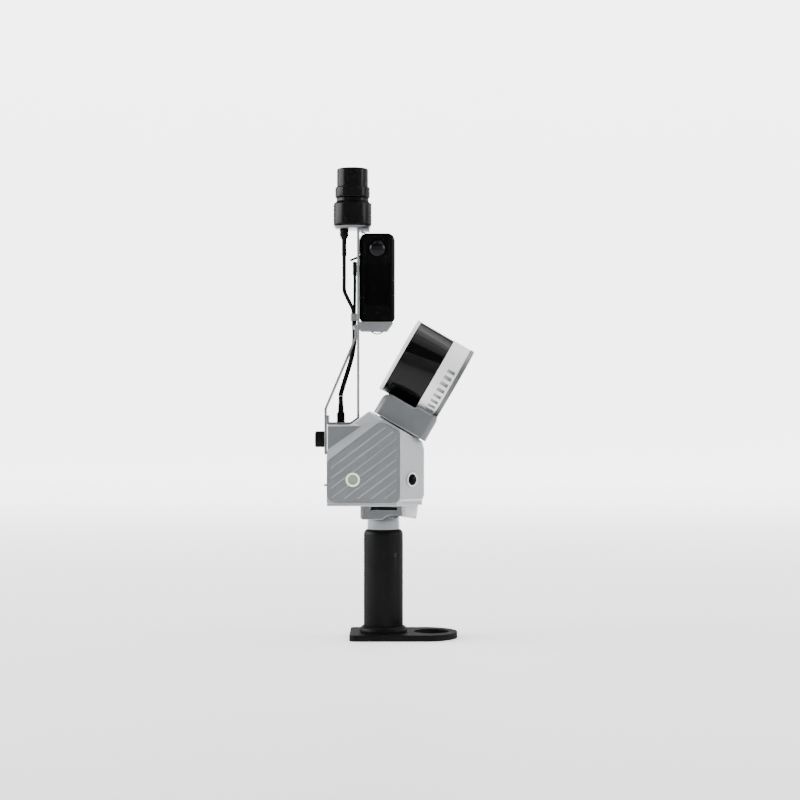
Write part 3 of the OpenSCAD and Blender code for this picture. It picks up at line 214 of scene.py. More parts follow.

# %% [markdown]
# The body's greys lean a little to blue. Its edges have a paler finish of their own: a painted highlight
# along the edges, with some wear where paint thins there. The blacks shine only through a thin coat: with a
# full gloss they would mirror the bright backdrop and turn grey. The ring round the power button glows
# faintly.

# %% The finishes
lacquer = {"coat": 0.3, "sheen": 0.16}
looks = {
    "shell": finish("shell_paint", grey(0.265), grey(0.29), (0.36, 0.46), 2200, 0.06, 0.2, **lacquer),
    # painted highlight with some wear: a paler paint for the body's rounded edges
    "shell_edge": finish("shell_edge_highlight_and_wear", grey(0.48), grey(0.54), (0.3, 0.4), 2200, 0.06, 0.2, **lacquer),
    # painted shade: a darker paint for the set-back sides of the body's rear box
    "recess": finish("rear_box_painted_shade", grey(0.12), grey(0.135), (0.40, 0.50), 2200, 0.06, 0.2),
    "panel": finish("panel_paint", grey(0.135), grey(0.15), (0.38, 0.48), 2200, 0.06, 0.2),
    # painted shadow: a near-black paint for the gap round each side panel
    "seam": finish("seam_shadow", grey(0.03), grey(0.04), (0.5, 0.6), 2200, 0.04),
    # painted highlight: a lighter paint for the grooves, standing in for the light their walls catch
    "groove": finish("groove_painted_highlight", grey(0.31), grey(0.34), (0.40, 0.50), 2200, 0.05, 0.2),
    "cradle": finish("cradle_paint", grey(0.112), grey(0.128), (0.32, 0.42), 2200, 0.06, 0.35),
    # painted highlight with some wear: a paler paint for the rounded edges of the cradle and neck
    "cradle_edge": finish("cradle_edge_highlight_and_wear", grey(0.26), grey(0.30), (0.28, 0.36), 2200, 0.06, 0.35),
    "neck": finish("neck_paint", grey(0.108), grey(0.12), (0.28, 0.38), 2600, 0.05, 0.5),
    "nose": finish("nose_polished_metal", grey(0.34), grey(0.40), (0.09, 0.14), 2600, 0.02, 0.95),
    # painted shade: a darker grey for the pockets between the lidar's fins
    "fin": finish("fin_pocket_painted_shade", grey(0.32, 1), grey(0.38, 1), (0.40, 0.50), 2400, 0.05),
    "bracket": finish("bracket_anodised", grey(0.15), grey(0.17), (0.34, 0.44), 3000, 0.06, 0.4),
    "collar": finish("collar_satin_metal", grey(0.15), grey(0.18), (0.09, 0.14), 3000, 0.02, 0.95),
    "disc": finish("antenna_disc_metal", grey(0.10), grey(0.12), (0.24, 0.32), 3000, 0.04, 0.9),
    "grip": black("grip_rubber", 0.0035, 0.005, (0.50, 0.62), 1400, 0.10, 0.12, 0.38),
    "base": black("base_black_anodised", 0.004, 0.006, (0.48, 0.60), 2000, 0.10, 0.10, 0.40),
    "black_satin": black("antenna_black_satin", 0.0018, 0.0026, (0.30, 0.40), 2400, 0.04, 0.16, 0.22),
    "black_gloss": black("camera_black", 0.0012, 0.0018, (0.28, 0.40), 2400, 0.03, 0.1, 0.22),
    "cable": black("cable_rubber", 0.003, 0.0045, (0.42, 0.55), 2600, 0.04, 0.1, 0.4),
    "white": finish("lidar_white_paint", grey(0.82, 0.99), grey(0.86, 0.99), (0.34, 0.44), 2400, 0.05),
    "bezel": finish("bezel_white_plastic", grey(0.62, 1), grey(0.66, 1), (0.30, 0.38), 2400, 0.04),
    "window": black("lidar_dark_window", 0.0008, 0.0012, (0.3, 0.4), 900, 0.0, 0.4, 0.03),
    "glass": lens_glass("dark_lens_glass", 0.08),
    "fisheye": lens_glass("fisheye_lens_glass", 0.3),
    "screen": black("touch_screen_glass", 0.0008, 0.0012, (0.3, 0.4), 900, 0.0, 0.06, 0.04),
    "steel": finish("screw_steel", grey(0.38), grey(0.44), (0.24, 0.34), 3000, 0.04, 1.0),
    "dark_steel": finish("black_oxide_steel", grey(0.004), grey(0.007), (0.40, 0.50), 3000, 0.05, 0.6),
    "wire": finish("ring_wire_steel", grey(0.03), grey(0.045), (0.22, 0.30), 3000, 0.04, 1.0),
    "clip": finish("clip_grey_plastic", grey(0.07), grey(0.20), (0.42, 0.55), 1800, 0.2, cloud=700),
    "ring_light": finish("button_ring_plastic", (0.62, 0.64, 0.50), (0.76, 0.77, 0.64), (0.25, 0.35),
                         2000, 0.03, cloud=260),
    "button": finish("button_face", (0.20, 0.22, 0.19), (0.27, 0.29, 0.26), (0.35, 0.45),
                     2000, 0.08, 0.2, cloud=500),
    "board": finish("board_green", (0.01, 0.06, 0.025), (0.015, 0.09, 0.035), (0.35, 0.45), 1200, 0.05),
    "cells": finish("cell_wrap_blue", (0.02, 0.07, 0.22), (0.03, 0.09, 0.26), (0.25, 0.35), 1200, 0.03),
    "brass": finish("contact_brass", (0.55, 0.36, 0.14), (0.62, 0.42, 0.18), (0.25, 0.35), 2000, 0.05, 1.0),
    "motor": finish("motor_can", grey(0.06), grey(0.08), (0.30, 0.40), 2600, 0.05, 0.8),
    "rotor": finish("rotor_dark_plastic", grey(0.03), grey(0.045), (0.40, 0.50), 1800, 0.08),
}
lit = looks["ring_light"].node_tree.nodes["Principled BSDF"].inputs
lit["Emission Color"].default_value = (0.92, 1.0, 0.72, 1)
lit["Emission Strength"].default_value = 0.5
print("finishes:", len(looks))

# %% [markdown]
# Each solid gets the finish that its real piece has. The ones that are remade further on are given theirs
# here too: a remade piece that starts as a copy of its solid takes the finish along.

# %% Finish of each solid
wears = {
    "shell": ["body_shell", "bottom_plate"],
    "neck": ["neck_block"],
    "collar": ["neck_collar", "handle_tube"],
    "disc": ["antenna_base"],
    "wire": ["screw_ring"],
    "panel": ["side_panel_left", "side_panel_right"],
    "cradle": ["head_cradle"],
    "bracket": ["mast", "brace", "camera_tray"],
    "base": ["base_plate", "base_flange", "vent_grilles", "head_spindle"],
    "grip": ["handle_shell_left", "handle_shell_right", "clamp_knob"],
    "white": ["lidar_base", "lidar_cap", "battery_holders"],
    "bezel": ["lens_bezels"],
    "window": ["lidar_window"],
    "glass": ["lens_domes"],
    "fisheye": ["camera_lenses"],
    "screen": ["camera_screen"],
    "black_satin": ["antenna_housing", "antenna_ring", "antenna_radome", "lens_barrels", "port_block",
                    "cable_socket"],
    "black_gloss": ["camera_case", "camera_lens_rings", "camera_door", "camera_shutter"],
    "cable": ["cable_trunk", "antenna_cable", "camera_cable", "cable_plug", "usb_plug", "antenna_gland",
              "port_cover"],
    "clip": ["cable_clip"],
    "steel": ["m3_screws", "base_screws", "lidar_screws", "tripod_insert", "camera_screw", "head_bearing"],
    "motor": ["head_motor"],
    "rotor": ["lidar_rotor"],
    "brass": ["antenna_element", "slip_ring"],
    "cells": ["battery_cells"],
    "board": ["main_board"],
    "ring_light": ["button_ring"],
    "button": ["power_button"],
}
for look, names in wears.items():
    for node in names:
        slots = nodes[node].data.materials
        slots.clear()
        slots.append(looks[look])
look_of = {node: look for look, names in wears.items() for node in names}
print("solids without a finish:", sorted(set(nodes) - set(look_of)))

# %% [markdown]
# Machined and moulded pieces have no knife edges: a small round catches a line of light along every
# corner. On the flat-sided pieces only the long sharp edges are rounded, so that screw holes keep crisp
# rims. Two pieces leave out more. The body keeps the shallow recesses that its side panels lie in, and the
# camera's case, which has the widest round of all, keeps its openings. So the first job is to tell such
# edges by their place.

# %% Which edges to round
recess = [Vector(c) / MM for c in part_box("side_panel_left")]
recess_y = 44  # the recesses lie further out than this
margin_x, margin_z = (3, 4), (9, 14)  # and reach this far past the panel on each side
same_place = 0.3
shortest_edge = 4.0


def outline_of(node):
    """A piece's outline seen from its side, as points (x, z) in millimetres."""
    points = [Vector((v.co[0], v.co[2])) / MM for v in nodes[node].data.vertices]
    return [points[i] for i in convex_hull_2d(points)]


def from_rim(outline, place):
    """How far a place lies inside an outline, in millimetres."""
    at = Vector((place[0], place[2]))
    sides = ((b - a, at - a) for a, b in zip(outline, outline[1:] + outline[:1]))
    return min(abs(side.cross(arm)) / side.length for side, arm in sides if side.length > 1e-6)


case_outline = outline_of("camera_case")
case_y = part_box("camera_case")[1][1] / MM


def inside_case(middle):
    """Whether an edge of the camera's case is one of its openings, and not its outer edge."""
    return abs(abs(middle[1]) - case_y) > same_place or from_rim(case_outline, middle) > same_place


def in_recess(middle):
    """Whether an edge lies on a side panel's shallow recess, or on the narrow rim round it."""
    (x0, _, z0), (x1, _, z1) = recess
    in_x = x0 - margin_x[0] < middle[0] < x1 + margin_x[1]
    in_z = z0 - margin_z[0] < middle[2] < z1 + margin_z[1]
    return in_x and in_z and abs(middle[1]) > recess_y


keeps = {"body_shell": (in_recess, shortest_edge), "camera_case": (inside_case, 0.3)}


def weigh_long_edges(piece, angle, keep, shortest):
    """Mark a piece's long sharp edges for the bevel, but not those to keep or the short ones round holes."""
    mesh = piece.data
    sides = {}
    for face in mesh.polygons:
        for key in face.edge_keys:
            sides.setdefault(key, []).append(face.normal)
    weights = mesh.attributes.new("bevel_weight_edge", "FLOAT", "EDGE")
    for edge in mesh.edges:
        normals = sides.get(edge.key, [])
        a, b = (mesh.vertices[v].co for v in edge.vertices)
        if len(normals) == 2 and (a - b).length > shortest * MM and not keep((a + b) / 2 / MM):
            weights.data[edge.index].value = float(normals[0].angle(normals[1], 0) > math.radians(angle))


print("camera outline points:", len(case_outline))

# %% [markdown]
# The solids themselves are left sharp. A copy of each is welded, its flat faces are joined up again, and a
# bevel modifier rounds its edges. The copy then stands for the solid. The side panels keep their triangles,
# because a flat face with a row of grooves in it can't be joined up cleanly. On the body and the head the
# bevel gives its new faces the paler edge finish, a painted highlight with some wear. Round pieces need no
# marked edges: their bevel goes by angle.

# %% Rounding the edges of a solid
grooved = ("side_panel_left", "side_panel_right")
# the bevel faces of these pieces get the paler edge paint, a painted highlight with some wear
edge_highlight_looks = {"body_shell": "shell_edge", "bottom_plate": "shell_edge", "head_cradle": "cradle_edge",
              "neck_block": "cradle_edge"}
weld_m = 2e-6
flat_angle = math.radians(0.5)
smooth_angle = math.radians(35)


def softened(node, edge_mm, flat=True, segments=3, angle=32):
    piece = bpy.data.objects.new(node + "_finish", nodes[node].data.copy())
    bpy.context.scene.collection.objects.link(piece)
    only(piece)
    bpy.ops.object.mode_set(mode="EDIT")
    bpy.ops.mesh.select_all(action="SELECT")
    bpy.ops.mesh.remove_doubles(threshold=weld_m)
    if node not in grooved:
        bpy.ops.mesh.dissolve_limited(angle_limit=flat_angle)
    bpy.ops.object.mode_set(mode="OBJECT")
    bevel = piece.modifiers.new("round_edges", "BEVEL")
    bevel.width = edge_mm * MM
    bevel.segments = segments
    if flat:
        weigh_long_edges(piece, angle, *keeps.get(node, (lambda middle: False, shortest_edge)))
        bevel.limit_method = "WEIGHT"
        bevel.use_clamp_overlap = False
    else:
        bevel.limit_method = "ANGLE"
        bevel.angle_limit = math.radians(angle)
    bevel.miter_outer = "MITER_ARC"
    if node in edge_highlight_looks:
        piece.data.materials.append(looks[edge_highlight_looks[node]])
        bevel.material = 1
    apply_modifiers(piece)
    bpy.ops.object.shade_smooth_by_angle(angle=smooth_angle)
    if flat:
        normals = piece.modifiers.new("flat_faces", "WEIGHTED_NORMAL")
        normals.keep_sharp = True
        apply_modifiers(piece)
    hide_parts(node)
    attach(piece, body_of[node])
    return piece


edges = {
    "body_shell": 1.8, "bottom_plate": 0.8, "neck_block": 0.8, "head_cradle": 1.6, "mast": 0.5, "brace": 0.5,
    "camera_tray": 0.8, "camera_case": 3.0, "base_plate": 1.2, "usb_plug": 0.4, "cable_clip": 0.7,
    "port_cover": 0.4, "camera_door": 0.2, "side_panel_left": 0.5, "side_panel_right": 0.5, "port_block": 0.3,
    "vent_grilles": 0.15,
}
round_edges = {
    "neck_collar": 0.5, "lens_bezels": 0.4, "button_ring": 0.35, "antenna_base": 0.5,
    "antenna_housing": 0.8, "cable_socket": 0.3, "lidar_base": 0.4, "lidar_window": 0.3,
    "camera_lens_rings": 0.4, "handle_shell_left": 0.05, "handle_shell_right": 0.05, "head_spindle": 0.3,
    "antenna_ring": 0.8, "antenna_radome": 0.6, "base_flange": 0.3, "lidar_cap": 0.2, "camera_shutter": 0.3,
}
finished = {}
for node, edge_mm in (edges | round_edges).items():
    finished[node] = softened(node, edge_mm, flat=node in edges)
    print(node, "faces:", len(finished[node].data.polygons))

# %% [markdown]
# Some faces of a piece have another finish than the rest. The sides of the body's rear box, which lie further
# in than the body's own, are painted darker: painted shade. The side panels' slanted grooves are painted
# lighter, a painted highlight, and a dark seam of painted shadow runs round each panel's rim. The neck's nose
# is polished, and the pockets between the lidar's fins are painted darker as painted shade. All are told
# apart by where a face lies, so no face is picked by its number.

# %% Faces with another finish
slope = math.radians(30)  # the body's sloped top, which the head turns on
fin_radii = (44.6, 51.0)
nose_x = 24
rear_box_y, rear_box_x = (38, 43), -20
seam_mm, groove_mm, groove_depth = 1.0, 1.2, 0.05
lidar_axis = Vector((math.cos(slope), 0, -math.sin(slope)))
lidar_centre = (Vector(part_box("lidar_window")[0]) + Vector(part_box("lidar_window")[1])) / 2 / MM


def paint_faces(piece, look, test):
    piece.data.materials.append(looks[look])
    count = 0
    for face in piece.data.polygons:
        if test(face.center / MM, face.normal):
            face.material_index = len(piece.data.materials) - 1
            count += 1
    return count


def in_fin(centre, normal):
    arm = centre - lidar_centre
    radius = (arm - lidar_axis * arm.dot(lidar_axis)).length
    return fin_radii[0] < radius < fin_radii[1] and abs(normal.dot(lidar_axis)) < 0.95


def on_nose(centre, normal):
    return centre[0] > nose_x and abs(normal[2]) < 0.9


def on_rear_box(centre, normal):
    side = abs(normal[1]) > 0.9 and rear_box_y[0] < abs(centre[1]) < rear_box_y[1]
    return side and centre[0] < rear_box_x


# painted shade in the pockets between the fins
print("fin faces:", paint_faces(finished["lidar_base"], "fin", in_fin))
print("nose faces:", paint_faces(finished["neck_block"], "nose", on_nose))
# painted shade on the set-back sides of the rear box
print("recess faces:", paint_faces(finished["body_shell"], "recess", on_rear_box))
for node in grooved:
    face_y = max(abs(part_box(node)[0][1]), abs(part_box(node)[1][1])) / MM
    rim = outline_of(node)
    # painted shadow in the gap round the panel's rim
    count = paint_faces(finished[node], "seam", lambda c, n: from_rim(rim, c) < seam_mm and abs(n[1]) < 0.97)
    print(node, "rim faces:", count)
    # painted highlight in the panels' grooves
    count = paint_faces(finished[node], "groove",
                        lambda c, n: from_rim(rim, c) > groove_mm and abs(c[1]) < face_y - groove_depth)
    print(node, "groove faces:", count)

# %% [markdown]
# Knobs, screws, plugs and glands are turned pieces. On a lathe they would be cut from a bar; here a disc
# is drawn up step by step, each step a rise and a new radius, which gives clean rings to bevel later. A
# finished piece is turned to its direction, set down at its place, and put in for its solid.


# %% Turned pieces
def turned(name, radius, steps, sides=48):
    bpy.ops.object.select_all(action="DESELECT")
    bpy.ops.mesh.primitive_circle_add(vertices=sides, radius=radius * MM, fill_type="NGON")
    piece = bpy.context.object
    piece.name = name
    bpy.ops.object.mode_set(mode="EDIT")
    bpy.ops.mesh.select_all(action="SELECT")
    height = 0
    for rise, new_radius in steps:
        height += rise
        bpy.ops.mesh.extrude_region_move(TRANSFORM_OT_translate={"value": (0, 0, rise * MM)})
        share = new_radius / radius
        if abs(share - 1) > 1e-6:
            bpy.ops.transform.resize(value=(share, share, 1), center_override=(0, 0, height * MM))
        radius = new_radius
    bpy.ops.mesh.select_all(action="SELECT")
    bpy.ops.mesh.normals_make_consistent(inside=False)
    bpy.ops.object.mode_set(mode="OBJECT")
    return piece


def rounded(piece, edge, segments=2, angle=30):
    only(piece)
    bevel = piece.modifiers.new("round_edges", "BEVEL")
    bevel.width = edge * MM
    bevel.segments = segments
    bevel.limit_method = "ANGLE"
    bevel.angle_limit = math.radians(angle)
    apply_modifiers(piece)
    bpy.ops.object.shade_smooth_by_angle(angle=smooth_angle)


def set_down(piece, place, up):
    """Turn a piece's Z to the direction up, and put its origin at a place in millimetres."""
    turn = Vector((0, 0, 1)).rotation_difference(Vector(up)).to_matrix().to_4x4()
    piece.matrix_world = Matrix.Translation(Vector(place) * MM) @ turn
    settle(piece)


def stands_for(piece, node, look=None):
    if look:
        piece.data.materials.append(looks[look])
    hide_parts(node)
    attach(piece, body_of[node])
    print(node, "faces:", len(piece.data.polygons))


UP, DOWN, NEAR, BACK = (0, 0, 1), (0, 0, -1), (0, -1, 0), (-1, 0, 0)

# %% [markdown]
# The clamp knob is moulded with ribs all round for the fingers. Every third strip of its side is pushed
# inwards, which leaves the ribs standing, and its end has a shallow dish.


# %% Clamp knob
def ribbed(piece, low, high, sides, every, depth):
    """Push every few strips of a turned piece's side inwards between two heights."""
    only(piece)

    def strip(centre, normal):
        step = round(math.degrees(math.atan2(centre[1], centre[0])) / 360 * sides - 0.5) % every
        return abs(normal[2]) < 0.3 and low < centre[2] < high and step == 0

    count = pick_faces(piece, strip)
    bpy.ops.object.mode_set(mode="EDIT")
    bpy.ops.mesh.inset(thickness=0.00005)
    bpy.ops.transform.shrink_fatten(value=-depth * MM)
    bpy.ops.object.mode_set(mode="OBJECT")
    return count


low, high = (Vector(c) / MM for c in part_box("clamp_knob"))
knob_z = (low[2] + high[2]) / 2
knob_r = (high[2] - low[2]) / 2
stem_r, stem_h, bevel_h, grip_h = 3, 16, 0.7, 10.5
knob_h = stem_h + grip_h + 2 * bevel_h
knob = turned("knob", stem_r, [
    (stem_h, stem_r), (0, knob_r - bevel_h), (bevel_h, knob_r), (grip_h, knob_r), (bevel_h, knob_r - bevel_h),
    (0, knob_r - 2.2), (-0.8, knob_r - 3)], sides=90)
ribs = ribbed(knob, stem_h + 1, stem_h + 11, 90, 3, 0.55)
rounded(knob, 0.15)
set_down(knob, (low[0] + knob_h, 0, knob_z), BACK)
stands_for(knob, "clamp_knob", "grip")
print("knob strips pushed in:", ribs)

# %% [markdown]
# The cable's plug has a ribbed nut that screws on the socket, and a tapered boot with rings that lets the
# cable bend gently. The antenna's gland is the same idea, with a smooth sleeve below it.

# %% Plug and gland
low, high = (Vector(c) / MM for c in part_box("cable_plug"))
nut_r, nut_h, nut_end_r = 5.2, 13, 4.6
boot_r, boot_taper, boot_end_r = 4.2, 1.2, 2.9
boot_h = high[2] - low[2] - nut_h
rings, ring_h, gap_h, gap_depth = 5, boot_h / 9, boot_h / 22, 0.45
steps = [(0.6, nut_r), (nut_h - 1.2, nut_r), (0.6, nut_end_r), (0, boot_r)]
for k in range(rings):
    taper = boot_r - boot_taper * (k + 1) / rings
    steps += [(ring_h, taper), (0, taper - gap_depth), (gap_h, taper - gap_depth), (0, taper)]
steps += [(boot_h - rings * (ring_h + gap_h), boot_end_r)]
plug = turned("plug", nut_end_r, steps, sides=60)
ribbed(plug, 1, 12, 60, 3, 0.35)
rounded(plug, 0.12)
set_down(plug, (low[0] + nut_r, 0, low[2]), UP)
stands_for(plug, "cable_plug", "cable")

low, high = (Vector(c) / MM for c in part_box("antenna_gland"))
gland_r = (high[1] - low[1]) / 2
waist_r = gland_r - 0.5
sleeve_r, sleeve_h = 3, high[2] - low[2] - nut_h
gland = turned("gland", 2.7, [
    (0.5, sleeve_r), (sleeve_h - 0.5, sleeve_r), (0, 3.4), (4, waist_r), (0, gland_r), (4.2, gland_r),
    (0, waist_r), (0.6, waist_r), (0, gland_r), (4.2, gland_r)], sides=48)
ribbed(gland, sleeve_h + 4.2, sleeve_h + 8, 48, 4, 0.3)
rounded(gland, 0.15)
set_down(gland, ((low[0] + high[0]) / 2, 0, low[2]), UP)
stands_for(gland, "antenna_gland", "cable")

# %% [markdown]
# All the screws are socket heads: a round head with a six-sided hole for the key. One is modelled at each
# size, with the hole cut by a six-sided bar, and its copies are set down at their places and joined.


# %% Socket screws
def socket_screw(name, length, head_r, head_h, shank_r, key_r):
    tip, rim = 0.3, 0.25
    screw = turned(name, shank_r - tip, [
        (tip, shank_r), (length - tip, shank_r), (0, head_r), (head_h - rim, head_r),
        (rim, head_r - rim)], sides=32)
    bpy.ops.object.select_all(action="DESELECT")
    bpy.ops.mesh.primitive_cylinder_add(vertices=6, radius=key_r * MM, depth=head_h * 1.3 * MM,
                                        location=(0, 0, (length + head_h) * MM))
    key = bpy.context.object
    hole = screw.modifiers.new("key_hole", "BOOLEAN")
    hole.operation = "DIFFERENCE"
    hole.object = key
    apply_modifiers(screw)
    bpy.data.objects.remove(key)
    only(screw)
    bpy.ops.object.shade_smooth_by_angle(angle=math.radians(40))
    return screw


def screw_set(node, size, places, look, dark=()):
    """Screws as (length, place of the head's underside, direction of the head)."""
    patterns = {}
    for length in sorted({row[0] for row in places}):
        patterns[length] = socket_screw("screw_%d" % length, length, **size)
    copies = []
    for number, (length, place, up) in enumerate(places):
        copy = bpy.data.objects.new("%s_%d" % (node, number), patterns[length].data.copy())
        bpy.context.scene.collection.objects.link(copy)
        copy.data.materials.append(looks["dark_steel" if number in dark else look])
        set_down(copy, Vector(place) - Vector(up).normalized() * length, up)
        copies.append(copy)
    for pattern in patterns.values():
        bpy.data.objects.remove(pattern)
    bpy.ops.object.select_all(action="DESELECT")
    for copy in copies:
        copy.select_set(True)
    bpy.context.view_layer.objects.active = copies[0]
    bpy.ops.object.join()
    copies[0].name = node + "_set"
    stands_for(copies[0], node)


# %% [markdown]
# The screws sit in groups: four in the neck, four that hold the bottom plate to it, four that close the body
# from below, two in the grip, two where the brace laps the mast, two under the antenna, four under the base
# and three at the end of the lidar. The lidar's lie on the head, which is tilted, so their places are worked
# out along its slope.

# %% Where the screws go
m3 = {"head_r": 2.75, "head_h": 1.8, "shank_r": 1.45, "key_r": 1.4}
base_size = {"head_r": 3.5, "head_h": 3.5, "shank_r": 1.9, "key_r": 1.75}
head_x, head_z = 20.5, 272.0


def crossings(length, xs, ys, z, up):
    """Screws at every crossing of some x and y values."""
    return [(length, (x, y, z), up) for x in xs for y in ys]


def tilted(u, y, v):
    """A place on the head, whose frame lies on the body's slope."""
    c, t = math.cos(slope), math.sin(slope)
    return (head_x + u * c + v * t, y, head_z - u * t + v * c)


corner = 16.5 * math.sqrt(0.5)
places = crossings(12, (-corner, corner), (-corner, corner), 167.2, UP)
places += crossings(9, (-23, 24), (-24, 24), 177.3, UP)
places += crossings(12, (-64.8, 13), (-42.5, 42.5), 175.2, DOWN)
grip_r, grip_z, grip_screws = 23.3, 108.6, (len(places), len(places) + 1)
places += [(5, (grip_r * math.cos(a), grip_r * math.sin(a), grip_z), (math.cos(a), math.sin(a), 0))
           for a in (math.radians(-50), math.radians(50))]
places += crossings(9, (-37.025,), (-8, 8), 402, BACK)
places += crossings(6, (-26,), (-9, 9), 527.65, DOWN)
screw_set("m3_screws", m3, places, "steel", dark=grip_screws)

corner = 14.5 * math.sqrt(0.5)
places = crossings(10.1, (-corner, corner), (-corner, corner), 4.4, DOWN)
screw_set("base_screws", base_size, places, "dark_steel")

end_u, axis_v, circle_r = 32.8, 82.7, 30
along = Vector(tilted(1, 0, 0)) - Vector(tilted(0, 0, 0))
places = [(8, tilted(end_u, circle_r * math.sin(a), axis_v - circle_r * math.cos(a)), along)
          for a in (math.radians(60), math.radians(180), math.radians(300))]
screw_set("lidar_screws", m3, places, "steel")

# %% [markdown]
# The power button's cap has a thin raised rim round a shallow dish, so a thumb finds it without looking. A
# wider flange behind the wall keeps it from falling out.

# %% Power button
low, high = (Vector(c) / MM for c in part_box("power_button"))
middle = (low + high) / 2
flange_r, flange_h, cap_r = 7.0, 1.3, 6.1
cap = turned("button_cap", flange_r, [
    (flange_h, flange_r), (0, cap_r), (high[1] - low[1] - 1.6, cap_r), (0.3, 5.8), (0, 5.2),
    (-0.35, 4.7)], sides=64)
rounded(cap, 0.12)
set_down(cap, (middle[0], high[1], middle[2]), NEAR)
stands_for(cap, "power_button", "button")

# %% [markdown]
# The camera's screw has a knurled head to be turned by hand through the tray. The knurl is made as the
# knob's ribs are, only finer.

# %% Camera screw
low, high = (Vector(c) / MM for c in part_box("camera_screw"))
middle = (low + high) / 2
knurl_r, knurl_end_r, thread_r = 8, 7.6, 3.1
knurled = turned("knurled_screw", knurl_end_r, [
    (0.4, knurl_r), (3.1, knurl_r), (0.4, knurl_end_r), (0, thread_r), (high[2] - low[2] - 4.4, thread_r),
    (0.5, thread_r - 0.5)], sides=72)
ribbed(knurled, 0.6, 3.4, 72, 2, 0.3)
rounded(knurled, 0.1)
set_down(knurled, (middle[0], 0, low[2]), UP)
stands_for(knurled, "camera_screw", "steel")

# %% [markdown]
# Three cables meet in the grey clip behind the camera: a thick one down to the body, one up to the
# antenna and a thin one to the camera's port. Each runs on one smooth curve through a few points. They are
# drawn a little thicker than their solids, because a bright backdrop eats the edges of thin dark lines.


# %% Cables
def cable(node, width_mm, points_mm):
    curve = bpy.data.curves.new(node + "_run", "CURVE")
    curve.dimensions = "3D"
    curve.resolution_u = 10
    curve.bevel_depth = width_mm / 2 * MM
    curve.bevel_resolution = 6
    curve.use_fill_caps = True
    line = curve.splines.new("BEZIER")
    line.bezier_points.add(len(points_mm) - 1)
    for knot, point in zip(line.bezier_points, points_mm):
        knot.co = Vector(point) * MM
        knot.handle_left_type = knot.handle_right_type = "AUTO"
    piece = bpy.data.objects.new(node + "_run", curve)
    bpy.context.scene.collection.objects.link(piece)
    only(piece)
    bpy.ops.object.convert(target="MESH")
    bpy.ops.object.shade_smooth_by_angle(angle=math.radians(40))
    piece.data.materials.append(looks["cable"])
    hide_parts(node)
    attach(piece, body_of[node])
    length = sum((Vector(a) - Vector(b)).length for a, b in zip(points_mm, points_mm[1:]))
    print(node, "length mm:", round(length))


cable("cable_trunk", 6.1, [
    (-38.2, 0, 415), (-38, 0, 407), (-37.6, 0, 399.5), (-37.5, 0, 391.7), (-37.9, 0, 384), (-39, 0, 376),
    (-40.3, 0, 368.3), (-42.1, 0, 360.5), (-44.3, 0, 352.7), (-46.7, 0, 344.9), (-49.1, 0, 337.1),
    (-51.5, 0, 329.3), (-53.79, 0, 321.6), (-55.19, 0, 317.1), (-55.29, 0, 313.6)])
cable("antenna_cable", 4.9, [
    (-51, 0, 495.6), (-51, 0, 484), (-51, 0, 472), (-51, 0, 460), (-51, 0, 453), (-50.2, 0, 448.5),
    (-48.2, -0.4, 444), (-45.2, -1, 438), (-42.2, -1.7, 432), (-39.9, -2.4, 427), (-39, -2.7, 423),
    (-38.9, -2.7, 420), (-38.9, -2.7, 416)])
cable("camera_cable", 4.0, [
    (-37.15, 0, 470.4), (-37.15, 0, 460), (-37.2, 0.4, 450), (-37.3, 1.1, 440), (-37.4, 2, 431),
    (-37.6, 2.7, 422), (-37.6, 2.7, 416)])

# %% [markdown]
# The floor is a wide pale disc whose rim sweeps up into a low wall all round, so no horizon shows from any
# side. The disc's rim is drawn straight up, and a wide bevel turns the corner into the sweep.

# %% Floor
floor_r, wall_h, sweep_r = 7, 3.2, 2.2
bpy.ops.object.select_all(action="DESELECT")
bpy.ops.mesh.primitive_circle_add(vertices=96, radius=floor_r, fill_type="NGON")
floor = bpy.context.object
floor.name = "studio_floor"
for part in (floor.data.vertices, floor.data.polygons):
    for item in part:
        item.select = False
for edge in floor.data.edges:
    edge.select = True
bpy.ops.object.mode_set(mode="EDIT")
bpy.ops.mesh.select_mode(type="EDGE")
bpy.ops.mesh.extrude_edges_move(TRANSFORM_OT_translate={"value": (0, 0, wall_h)})
bpy.ops.mesh.select_mode(type="FACE")
bpy.ops.object.mode_set(mode="OBJECT")
sweep = floor.modifiers.new("sweep", "BEVEL")
sweep.width = sweep_r
sweep.segments = 16
sweep.limit_method = "ANGLE"
sweep.angle_limit = math.radians(60)
apply_modifiers(floor)
bpy.ops.object.shade_smooth()
print("floor faces:", len(floor.data.polygons))

# %% [markdown]
# A lit backdrop is brightest behind the object. The floor's paint glows a little by itself, and a curve says
# how much at each place between the front and the back. The curve holds values up to one, so they are
# multiplied up after it.

# %% Glow of the backdrop
full_glow = 4
front_glow, back_glow = 0.05, 3.4
glow_between = ((0.2, 0.1), (0.45, 0.5), (0.53, 0.6), (0.78, 3.3))
floor_paint = finish("floor_paint", (0.88, 0.88, 0.88), (0.92, 0.92, 0.92), (0.6, 0.7), 60, 0.02, cloud=2)
tree = floor_paint.node_tree
shader = tree.nodes["Principled BSDF"]
place, split = tree.nodes.new("ShaderNodeTexCoord"), tree.nodes.new("ShaderNodeSeparateXYZ")
glow = tree.nodes.new("ShaderNodeFloatCurve")
depth = tree.nodes.new("ShaderNodeMapRange")
for title, value in (("From Min", -floor_r), ("From Max", floor_r), ("To Min", 0.0), ("To Max", 1.0)):
    depth.inputs[title].default_value = value
curve = glow.mapping.curves[0]
curve.points[0].location = (0, front_glow / full_glow)
curve.points[1].location = (1, back_glow / full_glow)
for at, strength in glow_between:
    curve.points.new(at, strength / full_glow)
glow.mapping.update()
strong = tree.nodes.new("ShaderNodeMath")
strong.operation = "MULTIPLY"
strong.inputs[1].default_value = full_glow
tree.links.new(place.outputs["Object"], split.inputs["Vector"])
tree.links.new(split.outputs["Y"], depth.inputs["Value"])
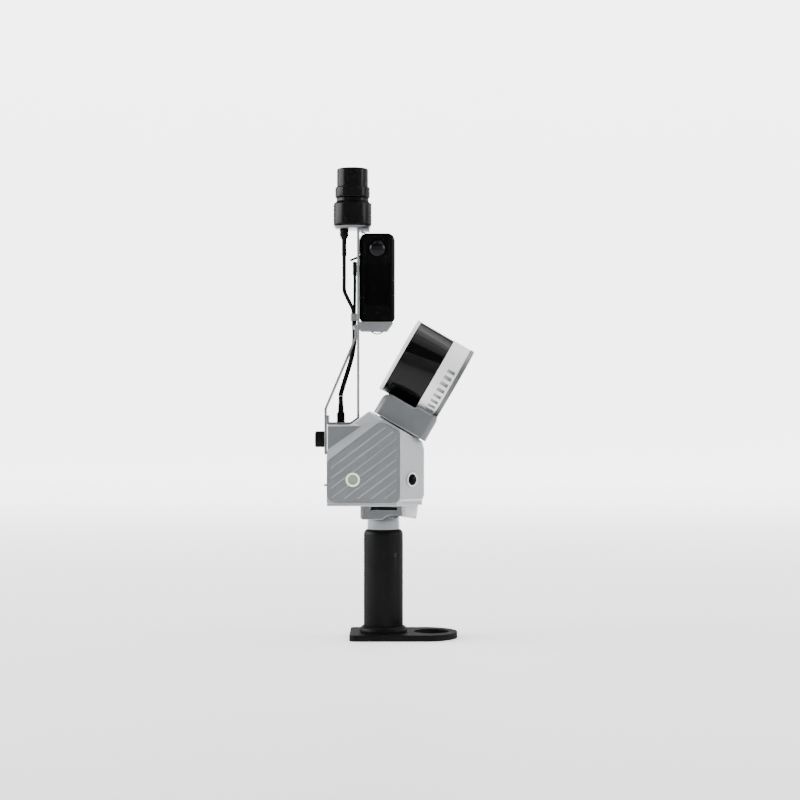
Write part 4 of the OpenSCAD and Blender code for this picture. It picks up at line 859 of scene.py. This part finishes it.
tree.links.new(depth.outputs["Result"], glow.inputs["Value"])
tree.links.new(glow.outputs["Value"], strong.inputs[0])
tree.links.new(strong.outputs["Value"], shader.inputs["Emission Strength"])
shader.inputs["Emission Color"].default_value = (1, 1, 1, 1)
floor.data.materials.append(floor_paint)
print("glow curve points:", len(curve.points))

# %% [markdown]
# The light is a plain studio set: a soft box on each side, a smaller one overhead, and a row of thin strips
# high on the right that draw fine streaks on the lidar's dark window. The side boxes are kept from spreading
# too wide, so that they don't draw hard edges on the floor.


# %% Light
def soft_box(name, place, look_at, size, power):
    data = bpy.data.lights.new(name, "AREA")
    data.shape = "RECTANGLE"
    data.size, data.size_y = size
    data.energy = power
    light = bpy.data.objects.new(name, data)
    bpy.context.scene.collection.objects.link(light)
    light.location = place
    light.rotation_euler = (Vector(look_at) - Vector(place)).to_track_quat("-Z", "Y").to_euler()
    return light


world = bpy.data.worlds.new("studio")
bpy.context.scene.world = world
world.use_nodes = True
sky = world.node_tree.nodes["Background"].inputs
sky["Color"].default_value = (1, 1, 1, 1)
sky["Strength"].default_value = 0.22
left_box = soft_box("left_box", (-3.6, 0.3, 1.45), (0, 0, 0.45), (3.6, 2.1), 150)
right_box = soft_box("right_box", (2.9, -0.65, 1.3), (0, 0, 0.4), (0.9, 1.8), 20)
for box in (left_box, right_box):
    box.data.spread = math.radians(115)
soft_box("top_box", (-0.9, -0.3, 2.4), (0, 0, 0.3), (1.2, 1.2), 16)
strip_x, strip_z, strip_length = 1.2, 2.3, 1.6
strips = (  # place along Y, width, brightness
    (1.89, 0.74, 2.5), (1.17, 0.47, 4.6), (0.69, 0.34, 7.2), (0.3, 0.28, 5.0), (-0.04, 0.25, 4.8),
    (-0.36, 0.25, 2.4), (-0.67, 0.25, 2.6), (-1.0, 0.27, 1.8), (-1.34, 0.28, 1.5))
for number, (y, width, brightness) in enumerate(strips):
    power = brightness * math.pi * strip_length * width
    soft_box("top_strip_%d" % number, (strip_x, y, strip_z), (strip_x, y, 0), (strip_length, width), power)
